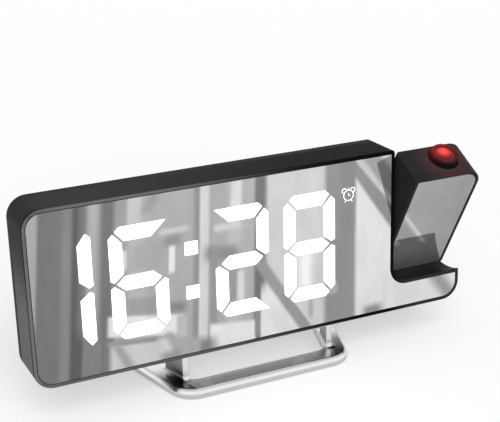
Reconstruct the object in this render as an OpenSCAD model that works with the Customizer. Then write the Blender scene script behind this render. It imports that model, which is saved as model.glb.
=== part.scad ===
// Mirror-faced projection alarm clock on a bent metal stand.
// Millimetres, +Z up, front facing -Y. The clock is drawn upright with its front in the
// plane Y = 0 and then leaned back onto the stand.

/* [Clock body] */
// Width of the clock, arm included
body_w = 192; // [180:1:210]
// Height of the clock
body_h = 72; // [68:1:78]
// Depth of the clock, front to back
body_d = 20.5; // [20.5:0.5:24]
// Radius of the outer corners, seen from the front
corner_r = 8; // [6:0.5:10]
// Wall of the housing
wall = 1.8; // [1.5:0.1:2.2]
// Depth of the rear cover
cover_d = 4; // [3.6:0.1:4.6]
// Backward lean of the clock on its stand, in degrees
lean = 3.4; // [0:0.1:8]

/* [Mirror front] */
// Width of the black rim round the mirror
rim_w = 1.6; // [1.2:0.1:2]
// Thickness of the mirror panels
mirror_t = 1.2; // [1:0.1:1.6]
// Thickness of the shelf that carries the mirror
seat_t = 1.4; // [1.2:0.1:1.8]
// Width of the shelf that carries the mirror
seat_w = 1.6; // [1.2:0.1:2]
// Clearance round panels, diffusers and trays
panel_gap = 0.1; // [0.05:0.05:0.2]

/* [Notch for the projector] */
// Width of the notch that takes the projector
notch_w = 33.4; // [32:0.2:36]
// Height of the ledge's front edge above the bottom
lip_h = 13.4; // [12.4:0.1:14.4]
// Radius of the notch's inner corner
notch_r = 6.5; // [5:0.5:7.5]
// Gap between the projector and the ledge it swings over
swing_gap = 0.35; // [0.3:0.05:0.6]
// Gap between the projector and the notch's wall
side_gap = 0.5; // [0.4:0.1:0.8]

/* [Projector arm] */
// Thickness of the projector, front to back
arm_t = 17.4; // [17.4:0.1:18.4]
// Wall of the projector's shells
arm_wall = 1.6; // [1.4:0.1:1.8]
// Depth of the projector's rear cover
arm_cover_d = 2.8; // [2.6:0.1:3]
// Forward tilt of the projector as it stands, in degrees
arm_tilt = 29.5; // [0:0.5:40]
// Height of the pivot above the clock's bottom
pivot_h = 37.9; // [37:0.1:39]
// Distance of the pivot behind the front
pivot_y = 9.9; // [9.4:0.1:10.4]
// Rim of the projector's mirror along its bottom edge
arm_rim_low = 0.5; // [0.4:0.1:1.2]

/* [Hinge of the projector] */
// Radius of the hollow hinge shaft
shaft_r = 4; // [3.6:0.1:4.2]
// Radius of the cable way through the shaft
shaft_bore_r = 2.7; // [2:0.1:3]
// Radial clearance of the shaft in its bush
shaft_fit = 0.05; // [0.03:0.01:0.08]
// Wall of the bush
bush_wall = 1.4; // [1:0.1:1.6]
// Width of the flanges on shaft and bush
flange_w = 1; // [0.8:0.1:1.2]
// Thickness of the flanges on shaft and bush
flange_t = 1.6; // [1.2:0.1:1.8]
// Thickness of the spring washer
washer_t = 0.8; // [0.5:0.1:1]
// Thickness of the retaining clip
clip_t = 1; // [0.8:0.1:1.2]
// Depth of the clip's groove in the shaft
groove_d = 0.5; // [0.4:0.1:0.6]

/* [Lens and optics] */
// Distance of the lens axis from the clock's right end
lens_inset = 14.2; // [14:0.1:15.4]
// Distance of the lens axis behind the projector's front
lens_y = 10; // [9.6:0.1:10.2]
// Radius of the focus ring
focus_r = 6.2; // [6:0.1:6.2]
// Height of the focus ring above the projector
focus_rise = 2.4; // [2.2:0.1:3]
// Radius of the well round the focus ring
well_r = 6.6; // [6.55:0.05:6.8]
// Depth of the well round the focus ring
well_d = 4.6; // [4:0.1:5]
// Outer radius of the lens barrel
barrel_r = 4.7; // [4.5:0.1:4.8]
// Wall of the lens barrel
barrel_wall = 0.9; // [0.7:0.1:1]
// Length of the lens barrel
barrel_l = 26; // [24:0.5:27]
// Radial clearance of the focus ring on the barrel
focus_fit = 0.05; // [0.03:0.01:0.08]
// Length of the optics holder
holder_l = 19; // [18:0.5:20]
// Width of the optics holder
holder_w = 13; // [12:0.5:14]
// Length of the cooling block under the lamp
sink_l = 6.5; // [5:0.5:7]

/* [Time display] */
// Width of a digit
digit_w = 23.5; // [20:0.5:24]
// Height of a digit
digit_h = 46; // [40:0.5:48]
// Width of a bar of a digit
seg_w = 5.9; // [4:0.1:6.4]
// Distance between two neighbouring digits
digit_pitch = 30.3; // [28:0.1:31]
// Distance from the colon to the digit beside it
colon_pitch = 21.8; // [21:0.1:23]
// Distance of the colon left of the display's middle
colon_left = 13.2; // [12:0.1:15]
// Height of the digits' centre
digit_z = 36.9; // [36:0.1:38]
// Side of a colon dot
dot_w = 5.6; // [4:0.1:6]
// Distance of the alarm symbol right of the last digit's centre
icon_right = 18.2; // [17:0.1:20]
// Distance of the alarm symbol's centre below the top of the digits
icon_drop = 3.9; // [3.5:0.1:8]
// Diameter of the alarm symbol
icon_d = 5.4; // [4:0.1:6]

/* [Boards] */
// Thickness of the reflector tray's flange
tray_t = 2; // [1.6:0.1:2.4]
// Thickness of the circuit boards
board_t = 1.4; // [1:0.1:1.6]
// Room behind the main board for the keys and the cell
key_room = 4.5; // [4.4:0.1:4.8]
// Width of the header between the boards
header_w = 22; // [16:1:30]
// Height of the header between the boards
header_h = 5; // [3:0.5:6]
// Side of the clock chip
chip_w = 10; // [6:0.5:12]
// Thickness of the clock chip
chip_t = 1.6; // [1:0.1:2]
// Length of the crystal
crystal_l = 8; // [5:0.5:9]
// Width of the crystal
crystal_w = 3.2; // [2:0.1:4]
// Diameter of the buzzer
buzzer_d = 12; // [9:0.5:14]
// Height of the buzzer
buzzer_h = 3.6; // [2.5:0.1:3.8]
// Margin between the boards and the housing's inner wall
board_margin = 5.8; // [5.6:0.1:6.4]
// Radius of the screws in the housing and the boards
screw_r = 1.1; // [0.9:0.1:1.3]
// Radius of the screw heads
head_r = 2.1; // [1.8:0.1:2.3]
// Height of the screw heads
head_t = 1.4; // [1:0.1:1.6]

/* [Rear keys] */
// Width of a key
key_w = 10; // [8:0.5:11]
// Height of a key
key_h = 4.6; // [4:0.1:5]
// How far a key stands out of the back
key_rise = 1; // [0.8:0.1:1.4]
// Travel of a key
key_travel = 0.5; // [0.3:0.05:0.5]
// Clearance round a key
key_gap = 0.3; // [0.2:0.05:0.4]
// Distance between keys
key_pitch = 15; // [13:0.5:16]
// Height of the row of keys
key_z = 57; // [54:0.5:58]

/* [Battery and socket] */
// Radius of the coin cell
cell_r = 10; // [8:0.5:10]
// Thickness of the coin cell
cell_t = 3.2; // [2.5:0.1:3.2]
// Wall of the cell's holder
holder_wall = 1.5; // [1:0.1:2]
// Height of the cell's holder
holder_t = 3; // [2:0.1:3.4]
// Distance of the cell from the clock's left end
cell_inset = 30; // [28:0.5:34]
// Height of the cell's centre
cell_z = 25; // [23:0.5:28]
// Side of the battery door
door_w = 27; // [26:0.5:29]
// Thickness of the battery door
door_t = 1.5; // [1.2:0.1:1.6]
// Width of the power socket
socket_w = 9; // [8.8:0.1:9.4]
// Height of the power socket
socket_h = 3.3; // [3.1:0.1:3.6]
// Depth of the power socket's mouth
socket_d = 5.2; // [4.6:0.1:5.4]
// Distance of the power socket from the notch
socket_inset = 32.6; // [28:0.2:36]
// Height of the power socket's centre
socket_z = 15; // [14:0.5:18]

/* [Stand] */
// Width of the foot plate along its front edge
foot_w = 76.8; // [70:0.2:82]
// Depth of the foot plate
foot_d = 52.9; // [48:0.1:58]
// Outward slant of the foot plate's sides and of the arch's legs, in degrees
foot_flare = 15; // [10:1:18]
// Thickness of the foot plate
foot_t = 3.8; // [3.4:0.1:4.4]
// Bevel round the foot plate's upper edge
foot_bevel = 1.6; // [1:0.1:2]
// Radius of the foot plate's corners
foot_r = 11; // [9:0.5:12]
// Width of the foot plate's front bar
foot_bar = 9.6; // [9:0.1:10.4]
// Width of the foot plate's rear bar
foot_rear = 8; // [7.2:0.1:9]
// Distance of the foot plate's front edge before the clock's front
foot_ahead = 7; // [6.4:0.1:8]
// Height of the clock's front bottom edge above the table
clock_z = 16; // [14:0.5:20]
// Width of the bent arch that carries the clock, at its front
arch_w = 68.4; // [65:0.2:70]
// Depth of the arch
arch_d = 12; // [11:0.5:13]
// Distance of the arch behind the clock's front
arch_y = 3.4; // [3:0.1:4]
// Thickness of the arch's legs
leg_t = 2.6; // [2.2:0.1:3]
// Thickness of the plate under the clock
arch_t = 2.2; // [1.8:0.1:2.6]
// Rise of the foot plate on its pads
pad_rise = 0.4; // [0.3:0.1:0.8]
// Radius of the pads
pad_r = 3.2; // [2.6:0.1:3.4]
// Distance between the stand's two screws
stand_pitch = 44; // [36:1:50]
// Radius of the stand's screws
stand_screw_r = 1.5; // [1.2:0.1:1.6]
// Depth of the stand's screws in the clock
stand_grip = 5; // [4:0.5:5.5]
// Height of the heads of the stand's screws
stand_head_t = 1.4; // [1:0.1:2]
// Depth of the recesses for the pads
pad_seat = 0.7; // [0.4:0.1:1.2]

/* [Hidden] */

BLACK = [0.03, 0.03, 0.035];
DARK = [0.08, 0.08, 0.09];
MIRROR = [0.72, 0.73, 0.75];
SILVER = [0.78, 0.78, 0.80];
WHITE = [0.95, 0.95, 0.95];
GREEN = [0.05, 0.30, 0.14];
BRASS = [0.78, 0.62, 0.30];
RED = [0.85, 0.05, 0.04];

ARC_N = 10;                     // steps in a quarter of a rounded corner
ROUND_N = 64;                   // $fn of round parts
FAR = 30;                       // overshoot of a cut that leaves the part
THROUGH = 0.5;                  // overshoot of a cut through one wall

half_w = body_w / 2;
notch_x = half_w - notch_w;
shell_d = body_d - cover_d;
seat_y = mirror_t + seat_t;
inner_back = body_d - wall - 0.2;

// swing of the projector over the ledge
sweep_r = norm([pivot_y, pivot_h - lip_h]);
ledge_drop = sweep_r - (pivot_h - lip_h);
arm_x = notch_x + side_gap;
arm_z = pivot_h - sqrt(pow(sweep_r - swing_gap, 2) - pow(pivot_y, 2));
arm_split = arm_t - arm_cover_d;
arm_front_in = mirror_t + seat_t;
arm_low_r = notch_r - 0.4;

// lens column, counted along the projector
lens_x = half_w - lens_inset;
well_z = body_h - well_d;
barrel_flange_t = 1.6;
barrel_top = body_h + 0.6;
barrel_low = barrel_top - barrel_l;
holder_low = barrel_low - holder_l + 1.4;
lamp_board_t = 1.2;

// display stack
tray_back = seat_y + tray_t;
board_x0 = -half_w + wall + board_margin - 1.4;
board_x1 = notch_x - wall - board_margin + 0.4;
board_z0 = wall + board_margin + 0.6;
board_z1 = body_h - wall - board_margin + 1.4;
disp_back = tray_back + board_t;
main_back = inner_back - key_room;
main_y = main_back - board_t;
board_gap = main_y - disp_back;
display_mid = (notch_x - half_w) / 2;
colon_x = display_mid - colon_left;
digit_x = [colon_x - colon_pitch - digit_pitch, colon_x - colon_pitch,
           colon_x + colon_pitch, colon_x + colon_pitch + digit_pitch];
icon_x = digit_x[3] + icon_right;
icon_z = digit_z + digit_h / 2 - icon_drop;
film_t = 1;
inlay_t = 0.6;
inlay_gap = 0.04;
led_t = 0.8;

// rear keys and switches
key_flange = 0.8;
key_flange_t = 0.65;
key_names = ["key_set", "key_up", "key_down", "key_alarm", "key_snooze", "key_light"];
key_flange_top = inner_back - 0.1;
switch_top = key_flange_top - key_flange_t - key_travel - 0.1;
switch_w = 6;
plunger_t = 0.5;

// battery bay and socket
cell_x = cell_inset - half_w;
cell_y = main_back + 0.4;
door_seat_t = 1.1;
socket_x = notch_x - socket_inset;
buzzer_x = display_mid + 1.7 * buzzer_d;
buzzer_z = 2.2 * buzzer_d;
buzzer_r = buzzer_d / 2;
socket_wall = 0.35;
header_x = display_mid - header_w / 4;
header_z = board_z0 + header_h / 2;
chip_x = display_mid - 2.5 * chip_w;
crystal_x = chip_x + 1.8 * chip_w;
crystal_t = chip_t - 0.4;

// stand
foot_half = foot_w / 2;
foot_rear_half = foot_half + foot_d * tan(foot_flare);
arch_half = arch_w / 2;
screw_y = 8.6;

// the origin is under the middle of the whole part
arm_tip_y = pivot_y - pivot_y * cos(arm_tilt) - (body_h - pivot_h) * sin(arm_tilt);
arm_tip_z = pivot_h - pivot_y * sin(arm_tilt) + (body_h - pivot_h) * cos(arm_tilt);
front_most = min(-foot_ahead, arm_tip_y * cos(lean) + arm_tip_z * sin(lean));
rear_most = foot_d - foot_ahead;
shift_y = -(front_most + rear_most) / 2;

// ---------------------------------------------------------------- helpers

// points on an arc; a radius of 0 gives its centre once
function arc(x, y, r, a0, a1, n = ARC_N) =
    r <= 0 ? [[x, y]] : [for (i = [0 : n]) let (a = a0 + (a1 - a0) * i / n) [x + r * cos(a), y + r * sin(a)]];

// extrudes an outline in X and Z backwards from y0
module slab(y0, t)
    translate([0, y0 + t, 0])
        rotate([90, 0, 0])
            linear_extrude(t)
                children();

// a round bar along Y from y0
module rod_y(x, z, y0, l, r)
    translate([x, y0 + l, z])
        rotate([90, 0, 0])
            cylinder(h = l, r = r, $fn = ROUND_N);

// a round bar along X from x0, at the pivot
module rod_x(x0, l, r)
    translate([x0, pivot_y, pivot_h])
        rotate([0, 90, 0])
            cylinder(h = l, r = r, $fn = ROUND_N);

// a ring along X at the pivot
module ring_x(x0, l, r_out, r_in)
    difference() {
        rod_x(x0, l, r_out);
        rod_x(x0 - THROUGH, l + 2 * THROUGH, r_in);
    }

// a round bar along the lens axis
module rod_lens(z0, l, r)
    translate([lens_x, lens_y, z0])
        cylinder(h = l, r = r, $fn = ROUND_N);

// a bar with round ends, width along X
module pill_2d(w, h) {
    polygon(concat(arc((w - h) / 2, 0, h / 2, -90, 90), arc(-(w - h) / 2, 0, h / 2, 90, 270)));
}

module rounded_2d(w, h, r)
    polygon(concat(
        arc(-w / 2 + r, -h / 2 + r, r, 180, 270), arc(w / 2 - r, -h / 2 + r, r, 270, 360),
        arc(w / 2 - r, h / 2 - r, r, 0, 90), arc(-w / 2 + r, h / 2 - r, r, 90, 180)));

// outline of the clock without the projector, moved inwards by e
function clock_outline(e, lip, rn) =
    let (r = corner_r - e, top_r = max(1.4 - e, 0)) concat(
        arc(-half_w + corner_r, corner_r, r, 180, 270),
        arc(half_w - corner_r, corner_r, r, 270, 360),
        [[half_w - e, lip - e]],
        arc(notch_x + rn, lip + rn, rn + e, 270, 180),
        arc(notch_x - e - top_r, body_h - e - top_r, top_r, 0, 90),
        arc(-half_w + corner_r, body_h - corner_r, r, 90, 180));

// outline of the projector, moved inwards by e, and by low at the bottom
function arm_outline(e, low) =
    let (r = corner_r - e, lr = arm_low_r - e, tr = max(1 - e, 0)) concat(
        arc(arm_x + e + lr, arm_z + low + lr, lr, 180, 270),
        arc(half_w - e - tr, arm_z + low + tr, tr, 270, 360),
        arc(half_w - corner_r, body_h - corner_r, r, 0, 90),
        arc(arm_x + e + tr, body_h - e - tr, tr, 90, 180));

// space that the projector's lower end sweeps, a bowl about the pivot
module sweep_space() {
    inner = sweep_r - notch_r;
    translate([notch_x, pivot_y, pivot_h])
        rotate([0, 90, 0])
            rotate_extrude($fn = 128)
                polygon(concat([[0, 0]], arc(inner, notch_r, notch_r, -90, 0),
                               [[sweep_r, notch_w + FAR], [0, notch_w + FAR]]));
}

module on_clock()
    translate([0, shift_y, clock_z])
        rotate([-lean, 0, 0])
            children();

module on_arm()
    on_clock()
        translate([0, pivot_y, pivot_h])
            rotate([arm_tilt, 0, 0])
                translate([0, -pivot_y, -pivot_h])
                    children();

// ---------------------------------------------------------------- housing

boss_in = corner_r - 2.4;
screw_at = [[-half_w + boss_in, body_h - boss_in], [-half_w + boss_in, boss_in],
            [notch_x - wall - 2.2, body_h - wall - 2.2], [half_w - boss_in, boss_in]];
boss_r = 3;
screw_end = 8;
screw_seat = body_d - 1.8;

module cavity_2d()
    polygon(clock_outline(wall, lip_h - ledge_drop, notch_r));

module raw_clock(y0, t)
    difference() {
        slab(y0, t) polygon(clock_outline(0, lip_h + 0.5, notch_r + 2));
        sweep_space();
    }

module main_housing()
    color(BLACK) on_clock() difference() {
        union() {
            difference() {
                raw_clock(0, shell_d);
                slab(seat_y, shell_d) cavity_2d();
            }
            for (p = screw_at)
                rod_y(p[0], p[1], seat_y, shell_d - seat_y, boss_r);
            for (s = [-1, 1])
                translate([s * stand_pitch / 2, screw_y, wall / 2])
                    cylinder(h = wall / 2 + stand_grip, r = 2 * stand_screw_r, $fn = ROUND_N);
        }
        slab(-THROUGH, mirror_t + THROUGH) polygon(clock_outline(rim_w, lip_h, notch_r));
        slab(-THROUGH, seat_y + THROUGH + 0.1)
            polygon(clock_outline(rim_w + seat_w, lip_h, notch_r));
        for (p = screw_at)
            rod_y(p[0], p[1], screw_end, shell_d, screw_r);
        for (s = [-1, 1])
            translate([s * stand_pitch / 2, screw_y, -THROUGH])
                cylinder(h = stand_grip + 2 * THROUGH, r = stand_screw_r, $fn = ROUND_N);
        bush_hole();
    }

// the way of the hinge bush through the wall at the notch
module bush_hole()
    rod_x(notch_x - wall - THROUGH, wall + 2 * THROUGH, bush_r);

module rear_cover()
    color(DARK) on_clock() difference() {
        union() {
            difference() {
                raw_clock(shell_d, cover_d);
                slab(shell_d - THROUGH, inner_back - shell_d + THROUGH) cavity_2d();
            }
            intersection() {
                slab(shell_d, cover_d) cavity_2d();
                union()
                    for (p = screw_at)
                        rod_y(p[0], p[1], shell_d, cover_d - 0.2, boss_r);
            }
            translate([cell_x - door_w / 2 - 1, door_back - door_seat_t, cell_z - door_w / 2 - 1])
                cube([door_w + 2, body_d - door_back + door_seat_t - 0.2, door_w + 2]);
            for (p = post_at)
                rod_y(p[0], p[1], main_back, inner_back - main_back + 0.2, 2);
        }
        for (p = screw_at) {
            rod_y(p[0], p[1], shell_d - THROUGH, cover_d + 2 * THROUGH, screw_r + 0.2);
            rod_y(p[0], p[1], screw_seat, cover_d, head_r + 0.3);
        }
        for (i = [0 : len(key_names) - 1])
            translate([key_x(i), 0, key_z])
                slab(shell_d, cover_d + THROUGH) pill_2d(key_w + 2 * key_gap, key_h + 2 * key_gap);
        translate([cell_x, 0, cell_z])
            slab(door_back, FAR) rounded_2d(door_w + 2 * panel_gap, door_w + 2 * panel_gap, 2);
        rod_y(cell_x, cell_z, shell_d - 2, FAR, cell_r + 0.6);
        rod_y(door_screw_x, cell_z, shell_d, cover_d, screw_r);
        translate([socket_x, 0, socket_z])
            slab(shell_d, cover_d + THROUGH) pill_2d(socket_w + 0.4, socket_h + 0.4);
        for (a = [0 : 60 : 300], r = [1.8, 3.6])
            rod_y(buzzer_x + r * cos(a), buzzer_z + r * sin(a), shell_d, FAR, 0.6);
        bush_hole();
    }

// the posts press on the main board near its corners
post_in_x = 14;
post_in_z = 3;

// the door lies flush with the back on a thickened seat
door_back = body_d - door_t;
door_screw_x = cell_x + door_w / 2 - 2.6;
post_at = [for (x = [board_x0 + post_in_x, board_x1 - post_in_x],
                z = [board_z0 + post_in_z, board_z1 - post_in_z]) [x, z]];

function key_x(i) = display_mid + (i - (len(key_names) - 1) / 2) * key_pitch;

module housing_screws()
    color(SILVER) on_clock()
        for (p = screw_at) {
            rod_y(p[0], p[1], screw_end + 0.5, screw_seat - screw_end - 0.5, screw_r - 0.02);
            rod_y(p[0], p[1], screw_seat, head_t, head_r);
        }

module mirror_panel()
    color(MIRROR) on_clock()
        difference() {
            slab(0, mirror_t) polygon(clock_outline(rim_w + panel_gap, lip_h, notch_r));
            slab(-THROUGH, inlay_t + THROUGH) {
                lit_2d(0);
                translate([icon_x, icon_z])
                    alarm_2d(inlay_gap);
            }
        }

// ---------------------------------------------------------------- display

// one digit's bars, about the digit's centre; a free end reaches out to the digit's corner
half_d = digit_w / 2;
half_h = digit_h / 2;
side_w = seg_w - 0.5;           // width of the upright bars
corner = 4.4;                   // bevel of a digit's outer corners
seg_gap = 0.35;                 // dark line between two bars
off = seg_gap * 0.36;           // half of it, along X and along Z

function end_top(free) = free ?
    [[half_d, half_h], [half_d - seg_w - off, half_h - seg_w]] :
    [[half_d - corner, half_h], [half_d - corner / 2 - off, half_h - corner / 2 + off],
     [half_d - side_w - 2 * off, half_h - seg_w]];

function flip(pts) = [for (i = [len(pts) - 1 : -1 : 0]) [-pts[i][0], pts[i][1]]];

function top_bar(left_free, right_free) = concat(end_top(right_free), flip(end_top(left_free)));

mid_end = [[half_d - side_w - 1.5 * off, seg_w / 2], [half_d - corner / 2 - off, 0],
           [half_d - side_w - 1.5 * off, -seg_w / 2]];
mid_bar = concat(mid_end, [for (p = mid_end) -p]);

function side_bar(free) = concat(free ?
    [[half_d - side_w, half_h - seg_w + 1.2], [half_d - 2, half_h - 0.3], [half_d, half_h - 2]] :
    [[half_d - side_w, half_h - seg_w - 2 * off],
     [half_d - corner / 2 + off, half_h - corner / 2 - off], [half_d, half_h - corner]],
    [[half_d, 1.5], [half_d - 1.6, 2 * off], [half_d - side_w, seg_w / 2 + 2 * off]]);

// bars a to g as [points, mirror in X, mirror in Z]
function seg_shape(s, on) =
    s == 0 ? [top_bar(!on[5] && on[0], !on[1] && on[0]), 0, 0] :
    s == 1 ? [side_bar(!on[0] && on[1]), 0, 0] :
    s == 2 ? [side_bar(!on[3] && on[2]), 0, 1] :
    s == 3 ? [top_bar(!on[4] && on[3], !on[2] && on[3]), 0, 1] :
    s == 4 ? [side_bar(!on[3] && on[4]), 1, 1] :
    s == 5 ? [side_bar(!on[0] && on[5]), 1, 0] : [mid_bar, 0, 0];

// which of the bars a to g are lit, for 1, 6, 2 and 8
digits = [[false, true, true, false, false, false, false],
          [true, false, true, true, true, true, true],
          [true, true, false, true, true, false, true],
          [true, true, true, true, true, true, true]];

function seg_points(d, s) =
    let (q = seg_shape(s, digits[d]), kx = q[1] == 1 ? -1 : 1, kz = q[2] == 1 ? -1 : 1)
    [for (p = q[0]) [digit_x[d] + kx * p[0], digit_z + kz * p[1]]];

function mean(pts) = [for (k = [0 : 1]) [for (p = pts) p[k]] * [for (p = pts) 1] / len(pts)];

// the left digit only ever shows a 1, so it has its two right bars alone
function bars(d) = d == 0 ? [1, 2] : [0 : 6];

module bar_2d(d, s, shrink) {
    pts = seg_points(d, s);
    c = mean(pts);
    polygon([for (p = pts) c + (p - c) * (1 - shrink / norm(p - c))]);
}

module dots_2d(w)
    for (z = [-1, 1])
        translate([colon_x, digit_z + z * digit_h / 5])
            square(w, center = true);

// the bars that are lit, and the colon
module lit_2d(shrink) {
    for (d = [0 : 3], s = bars(d))
        if (digits[d][s])
            bar_2d(d, s, shrink);
    dots_2d(dot_w - 2 * shrink);
}

module all_bars_2d(shrink) {
    for (d = [0 : 3], s = bars(d))
        bar_2d(d, s, shrink);
    dots_2d(dot_w - 2 * shrink);
    translate([icon_x, icon_z])
        circle(r = icon_d / 2 + 1.2 - shrink, $fn = 32);
}

module reflector_tray()
    color(WHITE) on_clock() difference() {
        union() {
            slab(mirror_t, tray_back - mirror_t)
                tray_2d(rim_w + seat_w + panel_gap);
            slab(seat_y, tray_t)
                tray_2d(wall + panel_gap);
        }
        slab(mirror_t - THROUGH, tray_t + seat_t + 2 * THROUGH) all_bars_2d(0);
        for (p = screw_at)
            rod_y(p[0], p[1], 0, FAR, boss_r + 0.3);
        rod_x(notch_x - FAR, FAR, bush_r + flange_w + 0.4);
        for (p = standoff_at)
            rod_y(p[0], p[1], tray_back - 2.6, FAR, screw_r);
    }

// the tray is as wide as the inside of the housing left of the notch
module tray_2d(e)
    intersection() {
        polygon(clock_outline(e, lip_h, notch_r));
        translate([-half_w, 0])
            square([half_w + notch_x - e, body_h]);
    }

standoff_at = [for (x = [board_x0 + 3.4, board_x1 - 3.4], z = [board_z0 + 3.4, board_z1 - 3.4]) [x, z]];

module lit_segments()
    color(WHITE) on_clock() slab(0, inlay_t) lit_2d(inlay_gap);

module segment_diffusers()
    color([0.8, 0.8, 0.8]) on_clock() slab(mirror_t, film_t) all_bars_2d(panel_gap);

// a plain round clock with two hands, two bells and two feet; grow widens every stroke
module alarm_2d(grow) {
    difference() {
        circle(r = icon_d / 2 + grow, $fn = 32);
        circle(r = icon_d / 2 - 0.6 - grow, $fn = 32);
    }
    translate([-0.25 - grow, -0.25 - grow])
        square([0.5 + 2 * grow, icon_d / 2]);
    translate([-0.25 - grow, -0.25 - grow])
        square([icon_d / 2, 0.5 + 2 * grow]);
    for (s = [-1, 1]) {
        rotate(s * 40)
            translate([-1.1 - grow, icon_d / 2 - 0.2])
                square([2.2 + 2 * grow, 1.1 + grow]);
        rotate(180 + s * 34)
            translate([-0.3 - grow, icon_d / 2 - 0.3])
                square([0.6 + 2 * grow, 1.1 + grow]);
    }
}

module alarm_symbol()
    color(WHITE) on_clock()
        translate([icon_x, 0, icon_z])
            slab(0, inlay_t) alarm_2d(0);

module board_2d()
    difference() {
        translate([board_x0, board_z0])
            square([board_x1 - board_x0, board_z1 - board_z0]);
        for (p = screw_at)
            translate(p)
                circle(r = boss_r + 0.4, $fn = ROUND_N);
    }

module display_board()
    color(GREEN) on_clock() difference() {
        slab(tray_back, board_t) board_2d();
        for (p = standoff_at)
            rod_y(p[0], p[1], tray_back - THROUGH, board_t + 2 * THROUGH, screw_r + 0.1);
    }

module segment_leds()
    color([0.95, 0.85, 0.5]) on_clock()
        slab(tray_back - led_t, led_t) {
            for (d = [0 : 3], s = bars(d))
                translate(mean(seg_points(d, s)))
                    square([2, 1.4], center = true);
            for (z = [-1, 1])
                translate([colon_x, digit_z + z * digit_h / 5])
                    square([2, 1.4], center = true);
            translate([icon_x, icon_z])
                square([2, 1.4], center = true);
        }

module board_standoffs()
    color(BRASS) on_clock()
        for (p = standoff_at) {
            difference() {
                rod_y(p[0], p[1], disp_back, board_gap, 2.2);
                rod_y(p[0], p[1], main_y - 3.4, FAR, screw_r - 0.1);
            }
            rod_y(p[0], p[1], tray_back - 2.2, disp_back - tray_back + 2.3, screw_r - 0.05);
        }

module main_board()
    color(GREEN) on_clock() difference() {
        slab(main_y, board_t) board_2d();
        for (p = standoff_at)
            rod_y(p[0], p[1], main_y - THROUGH, board_t + 2 * THROUGH, screw_r + 0.1);
    }

module board_screws()
    color(SILVER) on_clock()
        for (p = standoff_at) {
            rod_y(p[0], p[1], main_back, 1, head_r);
            rod_y(p[0], p[1], main_y - 3, main_back - main_y + 3.1, screw_r - 0.12);
        }

module board_header()
    color(DARK) on_clock()
        translate([header_x, disp_back, header_z])
            cube([header_w, board_gap, header_h]);

module clock_chip()
    color(DARK) on_clock()
        translate([chip_x, main_y - chip_t, 3 * chip_w])
            cube([chip_w, chip_t, chip_w]);

module crystal()
    color(SILVER) on_clock()
        translate([crystal_x, main_y - crystal_t, 3 * chip_w])
            cube([crystal_w, crystal_t, crystal_l]);

module tact_switches()
    color(DARK) on_clock()
        for (i = [0 : len(key_names) - 1]) {
            translate([key_x(i) - switch_w / 2, main_back, key_z - switch_w / 2])
                cube([switch_w, switch_top - plunger_t - main_back, switch_w]);
            rod_y(key_x(i), key_z, switch_top - plunger_t, plunger_t, 1.7);
        }

module buzzer()
    color(DARK) on_clock() difference() {
        rod_y(buzzer_x, buzzer_z, main_back, buzzer_h, buzzer_r);
        rod_y(buzzer_x, buzzer_z, main_back + buzzer_h - 1, FAR, 1.2);
    }

module power_socket()
    color(SILVER) on_clock()
        translate([socket_x, 0, socket_z]) {
            difference() {
                slab(main_back, body_d - 0.2 - main_back) pill_2d(socket_w, socket_h);
                slab(body_d - 0.2 - socket_d, FAR)
                    pill_2d(socket_w - 2 * socket_wall, socket_h - 2 * socket_wall);
            }
            slab(body_d - 0.3 - socket_d, 0.8 * socket_d)
                square([socket_w - 2.4, 2 * socket_wall], center = true);
        }

module cell_holder()
    color(DARK) on_clock() difference() {
        rod_y(cell_x, cell_z, main_back, holder_t, cell_r + holder_wall);
        rod_y(cell_x, cell_z, cell_y, FAR, cell_r + panel_gap);
    }

module coin_cell()
    color(SILVER) on_clock()
        rod_y(cell_x, cell_z, cell_y, cell_t, cell_r);

module battery_door()
    color(DARK) on_clock() difference() {
        translate([cell_x, 0, cell_z])
            slab(door_back, door_t) rounded_2d(door_w, door_w, 2);
        rod_y(door_screw_x, cell_z, door_back - THROUGH, FAR, screw_r + 0.1);
        rod_y(door_screw_x, cell_z, body_d - 0.9, FAR, head_r);
    }

module battery_door_screw()
    color(SILVER) on_clock() {
        rod_y(door_screw_x, cell_z, door_back - door_seat_t, door_t + door_seat_t - 0.85, screw_r - 0.02);
        rod_y(door_screw_x, cell_z, body_d - 0.9, 0.8, head_r - 0.1);
    }

module rear_key(i)
    color(DARK) on_clock()
        translate([key_x(i), 0, key_z]) {
            slab(key_flange_top, body_d + key_rise - key_flange_top) pill_2d(key_w, key_h);
            slab(key_flange_top - key_flange_t, key_flange_t)
                pill_2d(key_w + 2 * key_flange, key_h + 2 * key_flange);
        }

// ---------------------------------------------------------------- hinge

bush_r = shaft_r + shaft_fit + bush_wall;
bush_x = notch_x - wall - flange_t;
washer_x = bush_x - washer_t;
clip_x = washer_x - clip_t;
shaft_x = clip_x - 1.5;
arm_in_x = arm_x + arm_wall + 0.4;

module hinge_bush()
    color([0.85, 0.85, 0.82]) on_clock() difference() {
        union() {
            rod_x(bush_x, notch_x - bush_x, bush_r);
            rod_x(bush_x, flange_t, bush_r + flange_w);
        }
        rod_x(bush_x - THROUGH, FAR, shaft_r + shaft_fit);
    }

module hinge_shaft()
    color(SILVER) on_arm() difference() {
        union() {
            rod_x(shaft_x, arm_in_x - shaft_x, shaft_r);
            rod_x(arm_in_x, flange_t, shaft_r + flange_w + 0.6);
        }
        rod_x(shaft_x - THROUGH, FAR, shaft_bore_r);
        ring_x(clip_x, clip_t, shaft_r + 1, shaft_r - groove_d);
    }

module spring_washer()
    color(SILVER) on_clock()
        ring_x(washer_x, washer_t, shaft_r + 2.2, shaft_r + 0.15);

module retaining_clip()
    color(DARK) on_arm() difference() {
        ring_x(clip_x, clip_t, shaft_r + 1.6, shaft_r - groove_d);
        translate([clip_x - THROUGH, pivot_y - 2, pivot_h])
            cube([clip_t + 2 * THROUGH, 4, FAR]);
    }

// ---------------------------------------------------------------- projector

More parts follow.
